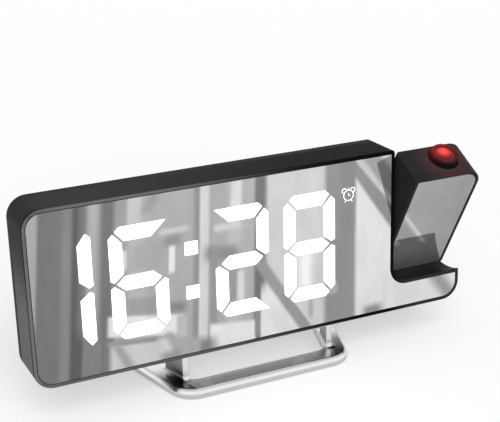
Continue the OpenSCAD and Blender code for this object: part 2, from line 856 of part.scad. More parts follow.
arm_screw_at = [[arm_x + arm_wall + 2.6, body_h - arm_wall - 2.6],
                [half_w - arm_wall - 2.6, arm_z + arm_wall + 2.6]];

module arm_cuts() {
    rod_lens(well_z, FAR, well_r);
    for (p = arm_screw_at)
        rod_y(p[0], p[1], 7, FAR, screw_r);
}

module arm_shell()
    color(BLACK) on_arm() difference() {
        union() {
            difference() {
                slab(0, arm_split) polygon(arm_outline(0, 0));
                slab(arm_front_in, arm_t) polygon(arm_outline(arm_wall, arm_wall));
            }
            rod_x(arm_x + arm_wall / 2, arm_in_x - arm_x - arm_wall / 2, bush_r + flange_w);
            for (p = arm_screw_at)
                rod_y(p[0], p[1], arm_front_in - 0.4, arm_split - arm_front_in + 0.4, boss_r);
        }
        slab(-THROUGH, mirror_t + THROUGH) polygon(arm_outline(rim_w - 0.2, arm_rim_low));
        slab(arm_split, FAR) polygon(arm_outline(0, 0));
        rod_x(arm_x - THROUGH, FAR, shaft_r + 0.02);
        arm_cuts();
        rod_lens(well_z - 2, FAR, 1);
    }

module arm_cover()
    color(DARK) on_arm() difference() {
        slab(arm_split, arm_cover_d) polygon(arm_outline(0, 0));
        difference() {
            slab(arm_split - THROUGH, arm_cover_d - arm_wall + THROUGH)
                polygon(arm_outline(arm_wall, arm_wall));
            for (p = arm_screw_at)
                rod_y(p[0], p[1], arm_split - THROUGH, FAR, boss_r);
        }
        rod_lens(well_z, FAR, well_r);
        for (p = arm_screw_at) {
            rod_y(p[0], p[1], arm_split - THROUGH, FAR, screw_r + 0.2);
            rod_y(p[0], p[1], arm_t - 1.7, FAR, head_r + 0.2);
        }
    }

module arm_screws()
    color(SILVER) on_arm()
        for (p = arm_screw_at) {
            rod_y(p[0], p[1], 7.5, arm_t - 1.7 - 7.5, screw_r - 0.02);
            rod_y(p[0], p[1], arm_t - 1.7, head_t, head_r);
        }

module arm_mirror()
    color(MIRROR) on_arm()
        slab(0, mirror_t)
            polygon(arm_outline(rim_w - 0.2 + panel_gap, arm_rim_low + panel_gap));

module lens_barrel()
    color(DARK) on_arm() difference() {
        union() {
            rod_lens(barrel_low, barrel_l, barrel_r);
            intersection() {
                rod_lens(well_z - barrel_flange_t, barrel_flange_t, well_r - 0.1);
                translate([0, arm_front_in + 0.05, 0])
                    cube([half_w, arm_t - arm_wall - arm_front_in - 0.1, body_h]);
            }
        }
        rod_lens(barrel_low - THROUGH, FAR + barrel_l, barrel_r - barrel_wall);
    }

module focus_ring()
    color(DARK) on_arm() difference() {
        rod_lens(well_z + 0.3, body_h + focus_rise - well_z - 0.3, focus_r);
        rod_lens(well_z, barrel_top + 0.3 - well_z, barrel_r + focus_fit);
        rod_lens(well_z, FAR, barrel_r - 0.3);
        for (a = [0 : 20 : 340])
            translate([lens_x, lens_y, 0])
                rotate([0, 0, a])
                    translate([focus_r, 0, body_h + 0.4])
                        cylinder(h = FAR, r = 0.35, $fn = 16);
    }

// a thin disc with a domed top, held in the ring
module projection_lens()
    color(RED) on_arm()
        translate([lens_x, lens_y, barrel_top + 0.4])
            rotate_extrude($fn = ROUND_N)
                polygon(concat([[0, 0], [barrel_r - 0.32, 0]],
                    [for (i = [0 : 8]) let (a = 90 * i / 8)
                        [(barrel_r - 0.32) * cos(a), 0.6 + 1 * sin(a)]]));

module optics_holder()
    color(DARK) on_arm() difference() {
        translate([lens_x - holder_w / 2, arm_front_in + 0.8, holder_low])
            cube([holder_w, arm_t - arm_wall - arm_front_in - 0.8, holder_l]);
        rod_lens(holder_low - THROUGH, FAR, barrel_r + 0.03);
    }

// lamp, condenser and slide, each at its height above the foot of the holder
lamp_h = 3;
lamp_r = 2.5;
condenser_rise = 8;
condenser_t = 3;
slide_rise = 13;
slide_t = 1.2;

module condenser_lens()
    color([0.8, 0.9, 0.95]) on_arm()
        rod_lens(holder_low + condenser_rise, condenser_t, barrel_r);

module time_slide()
    color([0.2, 0.22, 0.25]) on_arm()
        rod_lens(holder_low + slide_rise, slide_t, barrel_r);

module lamp_board()
    color(GREEN) on_arm()
        translate([lens_x - holder_w / 2, arm_front_in + 0.8, holder_low - lamp_board_t])
            cube([holder_w, arm_t - arm_wall - arm_front_in - 0.8, lamp_board_t]);

module projection_lamp()
    color(RED) on_arm()
        rod_lens(holder_low, lamp_h, lamp_r);

module cooling_block()
    color(SILVER) on_arm()
        translate([lens_x - holder_w / 2, arm_front_in + 0.8, holder_low - lamp_board_t - sink_l])
            difference() {
                cube([holder_w, arm_t - arm_wall - arm_front_in - 0.8, sink_l]);
                for (i = [1 : 4])
                    translate([i * holder_w / 5 - 0.7, -THROUGH, -THROUGH])
                        cube([1.4, arm_t, sink_l - 1.5 + THROUGH]);
            }

// ---------------------------------------------------------------- stand

// outline that widens to the back, moved inwards by e; the corner arcs are tangent to the slanted sides
function flared(half, depth, corner, e) =
    let (s = foot_flare, r = corner - e, cf = half - corner * (1 - sin(s)) / cos(s),
         cr = half + depth * tan(s) - corner * (1 + sin(s)) / cos(s)) concat(
        arc(-cf, corner, r, 180 + s, 270), arc(cf, corner, r, 270, 360 - s),
        arc(cr, depth - corner, r, -s, 90), arc(-cr, depth - corner, r, 90, 180 + s));

function foot_outline(e) = flared(foot_half, foot_d, foot_r, e);

// the plate with a bevelled upper edge, as three rings of points
module foot_plate() {
    rings = [[0, 0], [0, foot_t - foot_bevel], [foot_bevel, foot_t]];
    n = len(foot_outline(0));
    translate([0, -foot_ahead, pad_rise])
        polyhedron(
            points = [for (q = rings) for (p = foot_outline(q[0])) [p[0], p[1], q[1]]],
            faces = concat([[for (i = [0 : n - 1]) i]], [[for (i = [n - 1 : -1 : 0]) 2 * n + i]],
                [for (k = [0, 1], i = [0 : n - 1])
                    [k * n + i, (k + 1) * n + i, (k + 1) * n + (i + 1) % n, k * n + (i + 1) % n]]));
}

leg_in = arch_half - leg_t;
opening_y = foot_bar - foot_ahead;
opening_d = foot_d - foot_bar - foot_rear;
foot_fillet = 1.6;
foot_top = pad_rise + foot_t;
leg_foot_y = arch_y * cos(lean) - (clock_z - foot_top) * tan(lean);
// the opening's edge runs along the legs, a little inside them
opening_half = leg_in - 0.4 + (opening_y - leg_foot_y) * tan(foot_flare);

module foot_opening()
    translate([0, opening_y, -THROUGH])
        linear_extrude(FAR)
            polygon(flared(opening_half, opening_d, 4, 0));

// a block between the slanted sides of the arch, from y = a to y = b behind its front
module flared_block(half, a, b, h)
    linear_extrude(h)
        let (t = tan(foot_flare))
            polygon([[-half - a * t, a], [half + a * t, a], [half + b * t, b], [-half - b * t, b]]);

// the two legs and the plate under the clock, all square to the clock's underside
module arch()
    intersection() {
        translate([0, 0, clock_z])
            rotate([-lean, 0, 0])
                translate([0, arch_y, 0])
                    difference() {
                        translate([0, 0, -clock_z])
                            flared_block(arch_half, 0, arch_d, clock_z);
                        translate([0, 0, -clock_z - FAR])
                            flared_block(leg_in, -THROUGH, arch_d + THROUGH, clock_z - arch_t + FAR);
                    }
        translate([-arch_w, -FAR, pad_rise + foot_t / 2])
            cube([2 * arch_w, 3 * FAR, FAR]);
    }

// a hollow fillet along the outside of each leg's foot
module leg_fillets()
    for (s = [0, 1])
        mirror([s, 0, 0])
            translate([arch_half - 0.05, leg_foot_y, foot_top - 0.05])
                rotate([0, 0, -foot_flare])
                    translate([0, arch_d / cos(foot_flare) - 0.3, 0])
                        rotate([90, 0, 0])
                            linear_extrude(arch_d / cos(foot_flare) - 0.6)
                                polygon(concat([[0, 0]],
                                    arc(foot_fillet, foot_fillet, foot_fillet, 270, 180, 6)));

module stand()
    color(SILVER) translate([0, shift_y, 0])
        difference() {
            union() {
                difference() {
                    foot_plate();
                    foot_opening();
                }
                arch();
                leg_fillets();
            }
            translate([0, 0, clock_z])
                rotate([-lean, 0, 0])
                    for (s = [-1, 1])
                        translate([s * stand_pitch / 2, screw_y, -FAR])
                            cylinder(h = 2 * FAR, r = stand_screw_r + 0.2, $fn = ROUND_N);
            for (p = pad_at)
                translate([p[0], p[1], -THROUGH])
                    cylinder(h = pad_rise + pad_seat + THROUGH, r = pad_r, $fn = ROUND_N);
        }

pad_front_y = -foot_ahead + foot_bar / 2 + 0.4;
pad_rear_y = foot_d - foot_ahead - foot_rear / 2;
pad_at = [[-foot_half + foot_r, pad_front_y], [foot_half - foot_r, pad_front_y],
          [-foot_rear_half + 1.3 * foot_r, pad_rear_y], [foot_rear_half - 1.3 * foot_r, pad_rear_y]];

module stand_screws()
    color(SILVER) on_clock()
        for (s = [-1, 1])
            translate([s * stand_pitch / 2, screw_y, 0]) {
                translate([0, 0, -arch_t])
                    cylinder(h = arch_t + stand_grip, r = stand_screw_r - 0.02, $fn = ROUND_N);
                translate([0, 0, -arch_t - stand_head_t])
                    cylinder(h = stand_head_t, r = 2 * stand_screw_r, $fn = ROUND_N);
            }

module foot_pads()
    color(BLACK) translate([0, shift_y, 0])
        for (p = pad_at)
            translate([p[0], p[1], 0])
                cylinder(h = pad_rise + pad_seat, r = pad_r - 0.05, $fn = ROUND_N);

// ---------------------------------------------------------------- nodes

main_housing();
rear_cover();
housing_screws();
mirror_panel();
reflector_tray();
lit_segments();
segment_diffusers();
alarm_symbol();
display_board();
segment_leds();
board_standoffs();
main_board();
board_screws();
board_header();
clock_chip();
crystal();
tact_switches();
buzzer();
power_socket();
cell_holder();
coin_cell();
battery_door();
battery_door_screw();
rear_key(0);  // key_set
rear_key(1);  // key_up
rear_key(2);  // key_down
rear_key(3);  // key_alarm
rear_key(4);  // key_snooze
rear_key(5);  // key_light
hinge_bush();
hinge_shaft();
spring_washer();
retaining_clip();
arm_shell();
arm_cover();
arm_screws();
arm_mirror();
lens_barrel();
focus_ring();
projection_lens();
optics_holder();
condenser_lens();
time_slide();
lamp_board();
projection_lamp();
cooling_block();
stand();
stand_screws();
foot_pads();
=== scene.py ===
"""Dresses a mirror-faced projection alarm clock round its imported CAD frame.

Sizes are in millimetres in the clock's own upright frame; every array is carried into the row frame
(metres) before it becomes a mesh.
"""

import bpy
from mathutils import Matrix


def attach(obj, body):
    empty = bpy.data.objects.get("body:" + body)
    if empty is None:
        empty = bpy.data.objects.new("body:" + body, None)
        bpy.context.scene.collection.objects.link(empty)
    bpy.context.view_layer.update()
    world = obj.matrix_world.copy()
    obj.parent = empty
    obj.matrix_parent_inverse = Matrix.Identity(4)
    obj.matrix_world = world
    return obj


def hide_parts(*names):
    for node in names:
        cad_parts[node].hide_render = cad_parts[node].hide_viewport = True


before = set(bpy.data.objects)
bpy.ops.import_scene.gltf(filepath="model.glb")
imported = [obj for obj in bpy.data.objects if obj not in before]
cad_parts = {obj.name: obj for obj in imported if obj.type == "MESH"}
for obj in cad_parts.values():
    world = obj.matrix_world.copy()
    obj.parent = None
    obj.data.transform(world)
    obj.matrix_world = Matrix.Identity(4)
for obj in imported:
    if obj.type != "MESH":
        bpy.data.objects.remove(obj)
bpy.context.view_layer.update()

import logging
import math
from dataclasses import dataclass, field
from enum import Enum
from typing import Callable

import bmesh
import bpy
import numpy as np
from mathutils import Matrix, Vector

LOG = logging.getLogger("alarm_clock")
MM = 0.001
Array = np.ndarray
Socket = bpy.types.NodeSocket
Tree = bpy.types.NodeTree
Material = bpy.types.Material
Piece = bpy.types.Object
Pair = tuple[float, float]
Triple = tuple[float, float, float]
Colour = Triple  # linear red, green and blue
Value = float | tuple | Socket
Change = tuple[float, float, float, float]  # 1st to 2nd place, 3rd to 4th value


# ---------------- places

class Body(Enum):
    """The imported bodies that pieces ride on."""

    CLOCK = "clock"
    PROJECTOR = "projector"
    FOCUS = "focus"
    KEY_SET = "key_set"
    KEY_UP = "key_up"
    KEY_DOWN = "key_down"
    KEY_ALARM = "key_alarm"
    KEY_SNOOZE = "key_snooze"
    KEY_LIGHT = "key_light"


@dataclass(frozen=True)
class Stance:
    """How the clock stands, leans and holds its projector.

    Args:
        lean, tilt: backward lean of the clock, and forward tilt of the projector, degrees.
        clock_z, shift_y: height and depth of the clock's front bottom edge.
        pivot_y, pivot_z: depth and height of the projector's pivot.
    """

    lean: float = 3.4
    tilt: float = 29.5
    clock_z: float = 16.0
    shift_y: float = -17.069
    pivot_y: float = 9.9
    pivot_z: float = 37.9

    @property
    def pivot(self) -> Array:
        """The pivot in the clock's frame."""
        return np.array([0.0, self.pivot_y, self.pivot_z])

    @property
    def foot(self) -> Array:
        """The clock's front bottom edge in the row frame, millimetres."""
        return np.array([0.0, self.shift_y, self.clock_z])

    @staticmethod
    def turned(points: Array, degrees: float) -> Array:
        """Turns points about the X axis: y' = y cos a - z sin a, z' = y sin a + z cos a.

        Args:
            points: array whose last axis holds x, y, z.
            degrees: right-handed angle about +X.

        Returns:
            The turned points.
        """
        c, s = math.cos(math.radians(degrees)), math.sin(math.radians(degrees))
        out = np.array(points, float)
        out[..., 1] = points[..., 1] * c - points[..., 2] * s
        out[..., 2] = points[..., 1] * s + points[..., 2] * c
        return out

    def ground(self, points: Array) -> Array:
        """Carries points of the stand's frame into the row frame, in metres."""
        return (np.asarray(points, float) + [0.0, self.shift_y, 0.0]) * MM

    def clock(self, points: Array) -> Array:
        """Carries points of the upright clock into the row frame, in metres."""
        return (self.turned(np.asarray(points, float), -self.lean) + self.foot) * MM

    def arm(self, points: Array) -> Array:
        """Carries points of the closed projector into the row frame, in metres."""
        return self.clock(self.turned(np.asarray(points, float) - self.pivot, self.tilt)
                          + self.pivot)

    def from_clock(self, points: Array) -> Array:
        """Carries points of the row frame, in metres, back into the upright clock."""
        return self.turned(np.asarray(points, float) / MM - self.foot, self.lean)

    def from_arm(self, points: Array) -> Array:
        """Carries points of the row frame, in metres, back into the closed projector."""
        return self.turned(self.from_clock(points) - self.pivot, -self.tilt) + self.pivot


STANCE = Stance()


@dataclass(frozen=True)
class LensSeat:
    """Where the lens sits in the closed projector.

    Args:
        x, y, z: place of its seat.
        rise: how far the place that its light comes from stands above the seat.
    """

    x: float = 81.8
    y: float = 10.0
    z: float = 73.0
    rise: float = 1.0

    @property
    def axis(self) -> Array:
        """The foot of the lens's axis in the closed projector."""
        return np.array([self.x, self.y, 0.0])

    def light(self, aside: float = 0.0, back: float = 0.0) -> Triple:
        """Where its light comes from, in the row frame, or a place beside and behind that."""
        place = STANCE.arm(np.array([self.x + aside, self.y + back, self.z + self.rise]))
        return tuple(place.tolist())


LENS = LensSeat()


# ---------------- outlines

def arc(cx: float, cy: float, r: float, a0: float, a1: float, steps: int = 12) -> Array:
    """Points on an arc: centre plus r (cos a, sin a), a in even steps from a0 to a1 degrees."""
    a = np.radians(np.linspace(a0, a1, steps + 1))
    return np.stack([cx + r * np.cos(a), cy + r * np.sin(a)], axis=-1)


def closed_loop(corners: list[Array], between: int) -> Array:
    """Joins corner arcs into one loop with evenly spaced points on the straight stretches.

    A straight stretch from p to q has the points p + (q - p) k / (between + 1).

    Args:
        corners: arcs in order round the loop.
        between: points on each straight stretch.

    Returns:
        Array (n, 2).
    """
    k = np.arange(1, between + 1)[:, None] / (between + 1)
    parts = []
    for this, following in zip(corners, corners[1:] + corners[:1]):
        parts += [this, this[-1] + (following[0] - this[-1]) * k]
    return np.vstack(parts)


def softened(polygon: Array, r: float, steps: int = 3) -> Array:
    """Rounds a polygon's corners with quadratic curves.

    Each corner p gives (1-t)^2 a + 2t(1-t) p + t^2 b, where a and b lie r before and behind it,
    or a third of the side where that is shorter.

    Args:
        polygon: array (n, 2).
        r: how far from its corner a curve starts.
        steps: pieces of each curve.

    Returns:
        Array (n * (steps + 1), 2).
    """
    back, ahead = np.roll(polygon, 1, 0) - polygon, np.roll(polygon, -1, 0) - polygon
    reach = [np.minimum(r, np.linalg.norm(v, axis=1, keepdims=True) / 3) for v in (back, ahead)]
    a = polygon + back / np.linalg.norm(back, axis=1, keepdims=True) * reach[0]
    b = polygon + ahead / np.linalg.norm(ahead, axis=1, keepdims=True) * reach[1]
    t = np.linspace(0, 1, steps + 1)[None, :, None]
    curve = (1 - t) ** 2 * a[:, None] + 2 * t * (1 - t) * polygon[:, None] + t ** 2 * b[:, None]
    return curve.reshape(-1, 2)


def pill(w: float, h: float, steps: int = 14) -> Array:
    """A bar outline with round ends, width along X."""
    return np.vstack([arc((w - h) / 2, 0, h / 2, -90, 90, steps),
                      arc((h - w) / 2, 0, h / 2, 90, 270, steps)])


def raised(outline: Array, depth: float, at: Pair = (0.0, 0.0)) -> Array:
    """Lays a flat outline (x, z) at a depth behind the clock's front."""
    return np.stack([outline[:, 0] + at[0], np.full(len(outline), depth), outline[:, 1] + at[1]],
                    axis=-1)


def smooth_step(x: Array) -> Array:
    """0 below 0, 1 above 1, and x^2 (3 - 2x) between."""
    x = np.clip(x, 0.0, 1.0)
    return x * x * (3 - 2 * x)


# ---------------- surfaces

class Cap(Enum):
    """How the open ends of a stack of rings are closed."""

    FAN = "triangles to the mean point"
    FLAT = "one flat face"


@dataclass
class Surface:
    """A mesh in the making.

    Args:
        points: array (n, 3).
        quads: array (m, 4) of point numbers.
        caps: point numbers of every other face.
    """

    points: Array
    quads: Array
    caps: list[list[int]]

    @staticmethod
    def from_rings(rings: Array, cap: Cap = Cap.FAN, round_trip: bool = False) -> "Surface":
        """Skins a stack of closed rings.

        Point (i, j) is joined to (i + 1, j) and (i, j + 1), with j wrapping round.

        Args:
            rings: array (rings, points, 3).
            cap: how both ends are closed.
            round_trip: whether the last ring joins the first instead.

        Returns:
            The surface.
        """
        m, n = rings.shape[:2]
        index = np.arange(m * n).reshape(m, n)
        low = index if round_trip else index[:-1]
        high = np.roll(index, -1, axis=0) if round_trip else index[1:]
        quads = np.stack([low, np.roll(low, -1, axis=1), np.roll(high, -1, axis=1), high], axis=-1)
        points, caps = rings.reshape(-1, 3), []
        if cap is Cap.FAN and not round_trip:
            points = np.vstack([points, rings[0].mean(0), rings[-1].mean(0)])
            first, last = index[0], index[-1]
            caps = np.vstack([
                np.stack([np.roll(first, -1), first, np.full(n, m * n)], axis=-1),
                np.stack([last, np.roll(last, -1), np.full(n, m * n + 1)], axis=-1)]).tolist()
        elif cap is Cap.FLAT and not round_trip:
            caps = [index[0][::-1].tolist(), index[-1].tolist()]
        return Surface(points, quads.reshape(-1, 4), caps)

    @staticmethod
    def joined(parts: list["Surface"]) -> "Surface":
        """Puts several surfaces into one, each with its own points.

        Args:
            parts: the surfaces.

        Returns:
            The whole surface.
        """
        starts = np.cumsum([0] + [len(p.points) for p in parts[:-1]]).tolist()
        return Surface(np.vstack([p.points for p in parts]),
                       np.vstack([p.quads + s for p, s in zip(parts, starts)]),
                       [[i + s for i in face] for p, s in zip(parts, starts) for face in p.caps])

    def carried(self, way: Callable[[Array], Array]) -> "Surface":
        """The surface with its points carried into another frame."""
        return Surface(way(self.points), self.quads, self.caps)


def revolved(profile: Array, turns: int = 64, flutes: int = 0, flute_depth: float = 0.0,
             fluted: Array | None = None) -> Array:
    """Rings of a profile turned about the Z axis.

    A point at radius r and angle a lies at (r cos a, r sin a); where the profile is fluted, r loses
    the depth times the 4th power of the cosine of half the flutes' angle.

    Args:
        profile: array (n, 2) of radius and height, from the foot to the top.
        turns: points in each ring.
        flutes: number of flutes.
        flute_depth: their depth.
        fluted: their weight at each profile point.

    Returns:
        Array (n, turns, 3).
    """
    a = np.linspace(0, 2 * np.pi, turns, endpoint=False)
    weight = np.zeros(len(profile)) if fluted is None else fluted
    dent = flute_depth * np.cos(flutes * a / 2) ** 4
    r = profile[:, :1] - weight[:, None] * dent[None, :]
    z = np.broadcast_to(profile[:, 1:], r.shape)
    return np.stack([r * np.cos(a), r * np.sin(a), z], axis=-1)


def ribbon(path: Array, width: float, front: float, back: float, closed: bool = False) -> Surface:
    """A flat stroke of even width along a path in the clock's face.

    Each path point p gives four corners: p plus and minus half the width times the path's
    normal, at the front and at the back depth.

    Args:
        path: array (n, 2) of x, z.
        width: width of the stroke.
        front: depth of its front.
        back: depth of its back.
        closed: whether the path returns to its start.

    Returns:
        The stroke's surface.
    """
    run = np.roll(path, -1, 0) - np.roll(path, 1, 0) if closed else np.gradient(path, axis=0)
    side = np.stack([-run[:, 1], run[:, 0]], axis=-1) / np.linalg.norm(run, axis=1, keepdims=True)
    left, right = path + side * width / 2, path - side * width / 2
    corners = ((left, front), (right, front), (right, back), (left, back))
    rings = np.stack([raised(line, depth) for line, depth in corners], axis=1)
    return Surface.from_rings(rings, round_trip=closed)


def glass_plate(outer: Array, inner: Array, front: float, back: float, ease: float) -> Surface:
    """A thin flat plate whose front edge is eased.

    Three rings: the outline at the back and just behind the front, and the drawn-in outline at
    the front. Points that fall on their neighbours are left out.

    Args:
        outer: outline (x, z) of the plate.
        inner: the same outline drawn in at the front.
        front: depth of the front.
        back: depth of the back.
        ease: depth of the eased edge.

    Returns:
        The plate with flat caps.
    """
    rings = np.stack([raised(outer, back), raised(outer, front + ease), raised(inner, front)])
    keep = np.linalg.norm(rings[0] - np.roll(rings[0], 1, 0), axis=1) > 1e-4
    return Surface.from_rings(rings[:, keep], Cap.FLAT)


@dataclass(frozen=True)
class ScrewHead:
    """A pan head with a cross recess and a short shank.

    Args:
        r, h: radius and height of the head.
        shank_r, shank_l: radius and length of the shank.
    """

    r: float
    h: float
    shank_r: float
    shank_l: float

    # shares of the head's radius: its domed top, and (half size, softness) of a recess arm
    CROWN, ARM, REACH = 0.82, (0.17, 0.08), (0.62, 0.1)
    # shares of its height: fall of the dome, depth of the recess, and where it starts to cut
    DOME, RECESS, CUT_FROM = 0.22, 0.5, 0.7

    def surface(self) -> Surface:
        """Head up along Z with its seat at 0.

        The top is a dome less a cross: depth times the product of soft steps across and along
        each arm.

        Returns:
            The screw's surface.
        """
        ring_r = np.linspace(1.0, 0.0, 15)[:-1] * self.r * self.CROWN
        dome = self.h - self.DOME * self.h * (ring_r / self.r) ** 2
        edge = np.array([[self.shank_r, -self.shank_l], [self.shank_r, 0.0], [self.r * 0.97, 0.0],
                         [self.r, 0.08], [self.r, self.h * 0.5], [self.r * 0.95, self.h * 0.72]])
        rings = revolved(np.vstack([edge, np.stack([ring_r, dome], axis=-1)]), 48)
        x, y = np.abs(rings[..., 0]) / self.r, np.abs(rings[..., 1]) / self.r
        arms = np.maximum(self._arm(x, y), self._arm(y, x))
        cut = rings[..., 2] > self.h * self.CUT_FROM
        rings[..., 2] -= np.where(cut, arms * self.h * self.RECESS, 0.0)
        surface = Surface.from_rings(rings)
        surface.points[-1, 2] -= self.h * self.RECESS
        return surface

    def _arm(self, across: Array, along: Array) -> Array:
        """1 inside one arm of the recess, easing to 0 at its sides and ends."""
        return (smooth_step((self.ARM[0] - across) / self.ARM[1])
                * smooth_step((self.REACH[0] - along) / self.REACH[1]))

    def in_back(self, x: float, z: float, seat_y: float) -> Surface:
        """The screw with its head out of the back: its (x, y, z) goes to (x, z, y) at its seat."""
        return self.surface().carried(lambda p: p[:, [0, 2, 1]] + [x, seat_y, z])


class Maker:
    """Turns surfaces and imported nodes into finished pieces."""

    DOUBLE_M = 1e-7  # new points nearer than this are one
    PACKED_M = 1e-6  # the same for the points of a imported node
    FLAT_DEG = 0.4  # faces that meet at less than this are one
    EDGE_DEG = 30.0  # edges sharper than this are eased
    SHARP_DEG = 32.0  # and those sharper than this stay sharp
    IN_PLANE_MM = 0.02  # how near an edge lies to its plane

    @staticmethod
    def piece(name: str, surface: Surface, body: Body, smooth_deg: float = 35.0) -> Piece:
        """Makes a mesh object from a surface in the row frame.

        Args:
            name: the piece's name.
            surface: points in metres with their faces.
            body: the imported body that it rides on.
            smooth_deg: edges sharper than this stay sharp.

        Returns:
            The new object, with its normals pointing outwards.
        """
        mesh = bpy.data.meshes.new(name)
        mesh.from_pydata(surface.points.tolist(), [], surface.quads.tolist() + surface.caps)
        bm = bmesh.new()
        bm.from_mesh(mesh)
        bmesh.ops.remove_doubles(bm, verts=bm.verts, dist=Maker.DOUBLE_M)
        bmesh.ops.recalc_face_normals(bm, faces=bm.faces)
        bm.to_mesh(mesh)
        bm.free()
        return Maker._finish(name, mesh, body, smooth_deg)

    @staticmethod
    def _finish(name: str, mesh: bpy.types.Mesh, body: Body, smooth_deg: float) -> Piece:
        """Links a mesh as a piece that rides on a body.

        Args:
            name: the piece's name.
            mesh: its mesh in the row frame.
            body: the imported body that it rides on.
            smooth_deg: edges sharper than this stay sharp.

        Returns:
            The new object.
        """
        mesh.shade_smooth()
        mesh.set_sharp_from_angle(angle=math.radians(smooth_deg))
        obj = bpy.data.objects.new(name, mesh)
        bpy.context.scene.collection.objects.link(obj)
        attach(obj, body.value)
        return obj

    @staticmethod
    def eased(node: str, name: str, body: Body, planes: tuple[tuple[int, float], ...],
              width: float, seam_y: float = -1.0) -> Piece:
        """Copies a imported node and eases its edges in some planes; the copy stands for the node.

        Args:
            node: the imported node.
            name: the new piece's name.
            body: the body that it rides on.
            planes: (axis, place) in the upright frame, whose edges are eased.
            width: width of the eased edge.
            seam_y: depth at which edges stay sharp.

        Returns:
            The new object with a live Bevel modifier.
        """
        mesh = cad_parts[node].data.copy()
        mesh.name = name
        mesh.materials.clear()
        bm = bmesh.new()
        bm.from_mesh(mesh)
        bmesh.ops.remove_doubles(bm, verts=bm.verts, dist=Maker.PACKED_M)
        bmesh.ops.dissolve_limit(bm, angle_limit=math.radians(Maker.FLAT_DEG), verts=bm.verts,
                                 edges=bm.edges)
        bm.verts.index_update()
        places = np.array([v.co for v in bm.verts])
        local = STANCE.from_arm(places) if body is Body.PROJECTOR else STANCE.from_clock(places)
        weight = bm.edges.layers.float.new("bevel_weight_edge")
        near = [np.abs(local[:, axis] - place) < Maker.IN_PLANE_MM for axis, place in planes]
        seam = np.abs(local[:, 1] - seam_y) < Maker.IN_PLANE_MM
        for edge in bm.edges:
            a, b = edge.verts[0].index, edge.verts[1].index
            sharp = edge.calc_face_angle(0.0) > math.radians(Maker.EDGE_DEG)
            if sharp and not (seam[a] and seam[b]):
                edge[weight] = float(any(n[a] and n[b] for n in near))
        bm.to_mesh(mesh)
        bm.free()
        obj = Maker._finish(name, mesh, body, Maker.SHARP_DEG)
        bevel = obj.modifiers.new("eased_edges", "BEVEL")
        bevel.width = width * MM
        bevel.segments = 3
        bevel.limit_method = "WEIGHT"
        bevel.use_clamp_overlap = False
        bevel.harden_normals = True
        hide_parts(node)
        return obj


# ---------------- shader groups

class Graph:
    """A node tree with short calls for nodes and links."""

    def __init__(self, tree: Tree) -> None:
        """Wraps a node tree."""
        self.tree = tree

    def feed(self, socket: Socket, value: Value) -> None:
        """Links an output to an input, or sets the input's constant.

        Args:
            socket: the input.
            value: an output socket or a constant.
        """
        if isinstance(value, Socket):
            self.tree.links.new(value, socket)
        else:
            socket.default_value = value

    def node(self, kind: str, inputs: dict[int | str, Value] | None = None,
             **settings: object) -> bpy.types.Node:
        """Adds a node.

        Args:
            kind: the node's Blender type.
            inputs: input name or number to a value or an output socket.
            settings: attributes of the node.

        Returns:
            The node.
        """
        made = self.tree.nodes.new(kind)
        for key, value in settings.items():
            setattr(made, key, value)
        for key, value in (inputs or {}).items():
            self.feed(made.inputs[key], value)
        return made

    def math(self, operation: str, a: Value, b: Value = 0.0, c: Value = 0.0) -> Socket:
        """A Math node's result."""
        return self.node("ShaderNodeMath", {0: a, 1: b, 2: c}, operation=operation).outputs[0]

    def times(self, a: Value, b: Value) -> Socket:
        """The product of two values."""
        return self.math("MULTIPLY", a, b)

    def level(self, factor: Value, a: Value, b: Value) -> Socket:
        """A number that goes from a to b with the factor."""
        return self.node("ShaderNodeMix", {0: factor, 2: a, 3: b}, data_type="FLOAT").outputs[0]

    def mix(self, factor: Value, a: Value, b: Value) -> Socket:
        """A colour that goes from a to b with the factor."""
        return self.node("ShaderNodeMix", {0: factor, 6: a, 7: b}, data_type="RGBA").outputs[2]

    def ramp(self, value: Value, low: Value, high: Value, to_low: float = 0.0,
             to_high: float = 1.0) -> Socket:
        """A value eased from one range into another."""
        made = {0: value, 1: low, 2: high, 3: to_low, 4: to_high}
        return self.node("ShaderNodeMapRange", made, interpolation_type="SMOOTHSTEP").outputs[0]

    def split(self, vector: Value) -> list[Socket]:
        """The three parts of a vector."""
        return list(self.node("ShaderNodeSeparateXYZ", {0: vector}).outputs)

    def rough(self, vector: Value, scale: Value, detail: float) -> Socket:
        """Plain noise from 0 to 1."""
        return self.node("ShaderNodeTexNoise", {"Vector": vector, "Scale": scale,
                                                "Detail": detail}).outputs["Fac"]

    def noise(self, vector: Value, scale: float, detail: float,
              stretch: Triple = (1.0, 1.0, 1.0)) -> Socket:
        """Coarser noise from 0 to 1 on stretched coordinates.

        Args:
            vector: the coordinates.
            scale: scale of the noise.
            detail: its detail.
            stretch: factors on the coordinates; a smaller one draws the noise out.

        Returns:
            The noise.
        """
        moved = self.node("ShaderNodeMapping", {"Vector": vector, "Scale": stretch}).outputs[0]
        return self.node("ShaderNodeTexNoise", {"Vector": moved, "Scale": scale, "Detail": detail,
                                                "Roughness": 0.6}).outputs["Fac"]


def rgba(colour: Colour, gain: float = 1.0) -> tuple[float, float, float, float]:
    """An opaque colour times a gain."""
    return (*[c * gain for c in colour], 1)


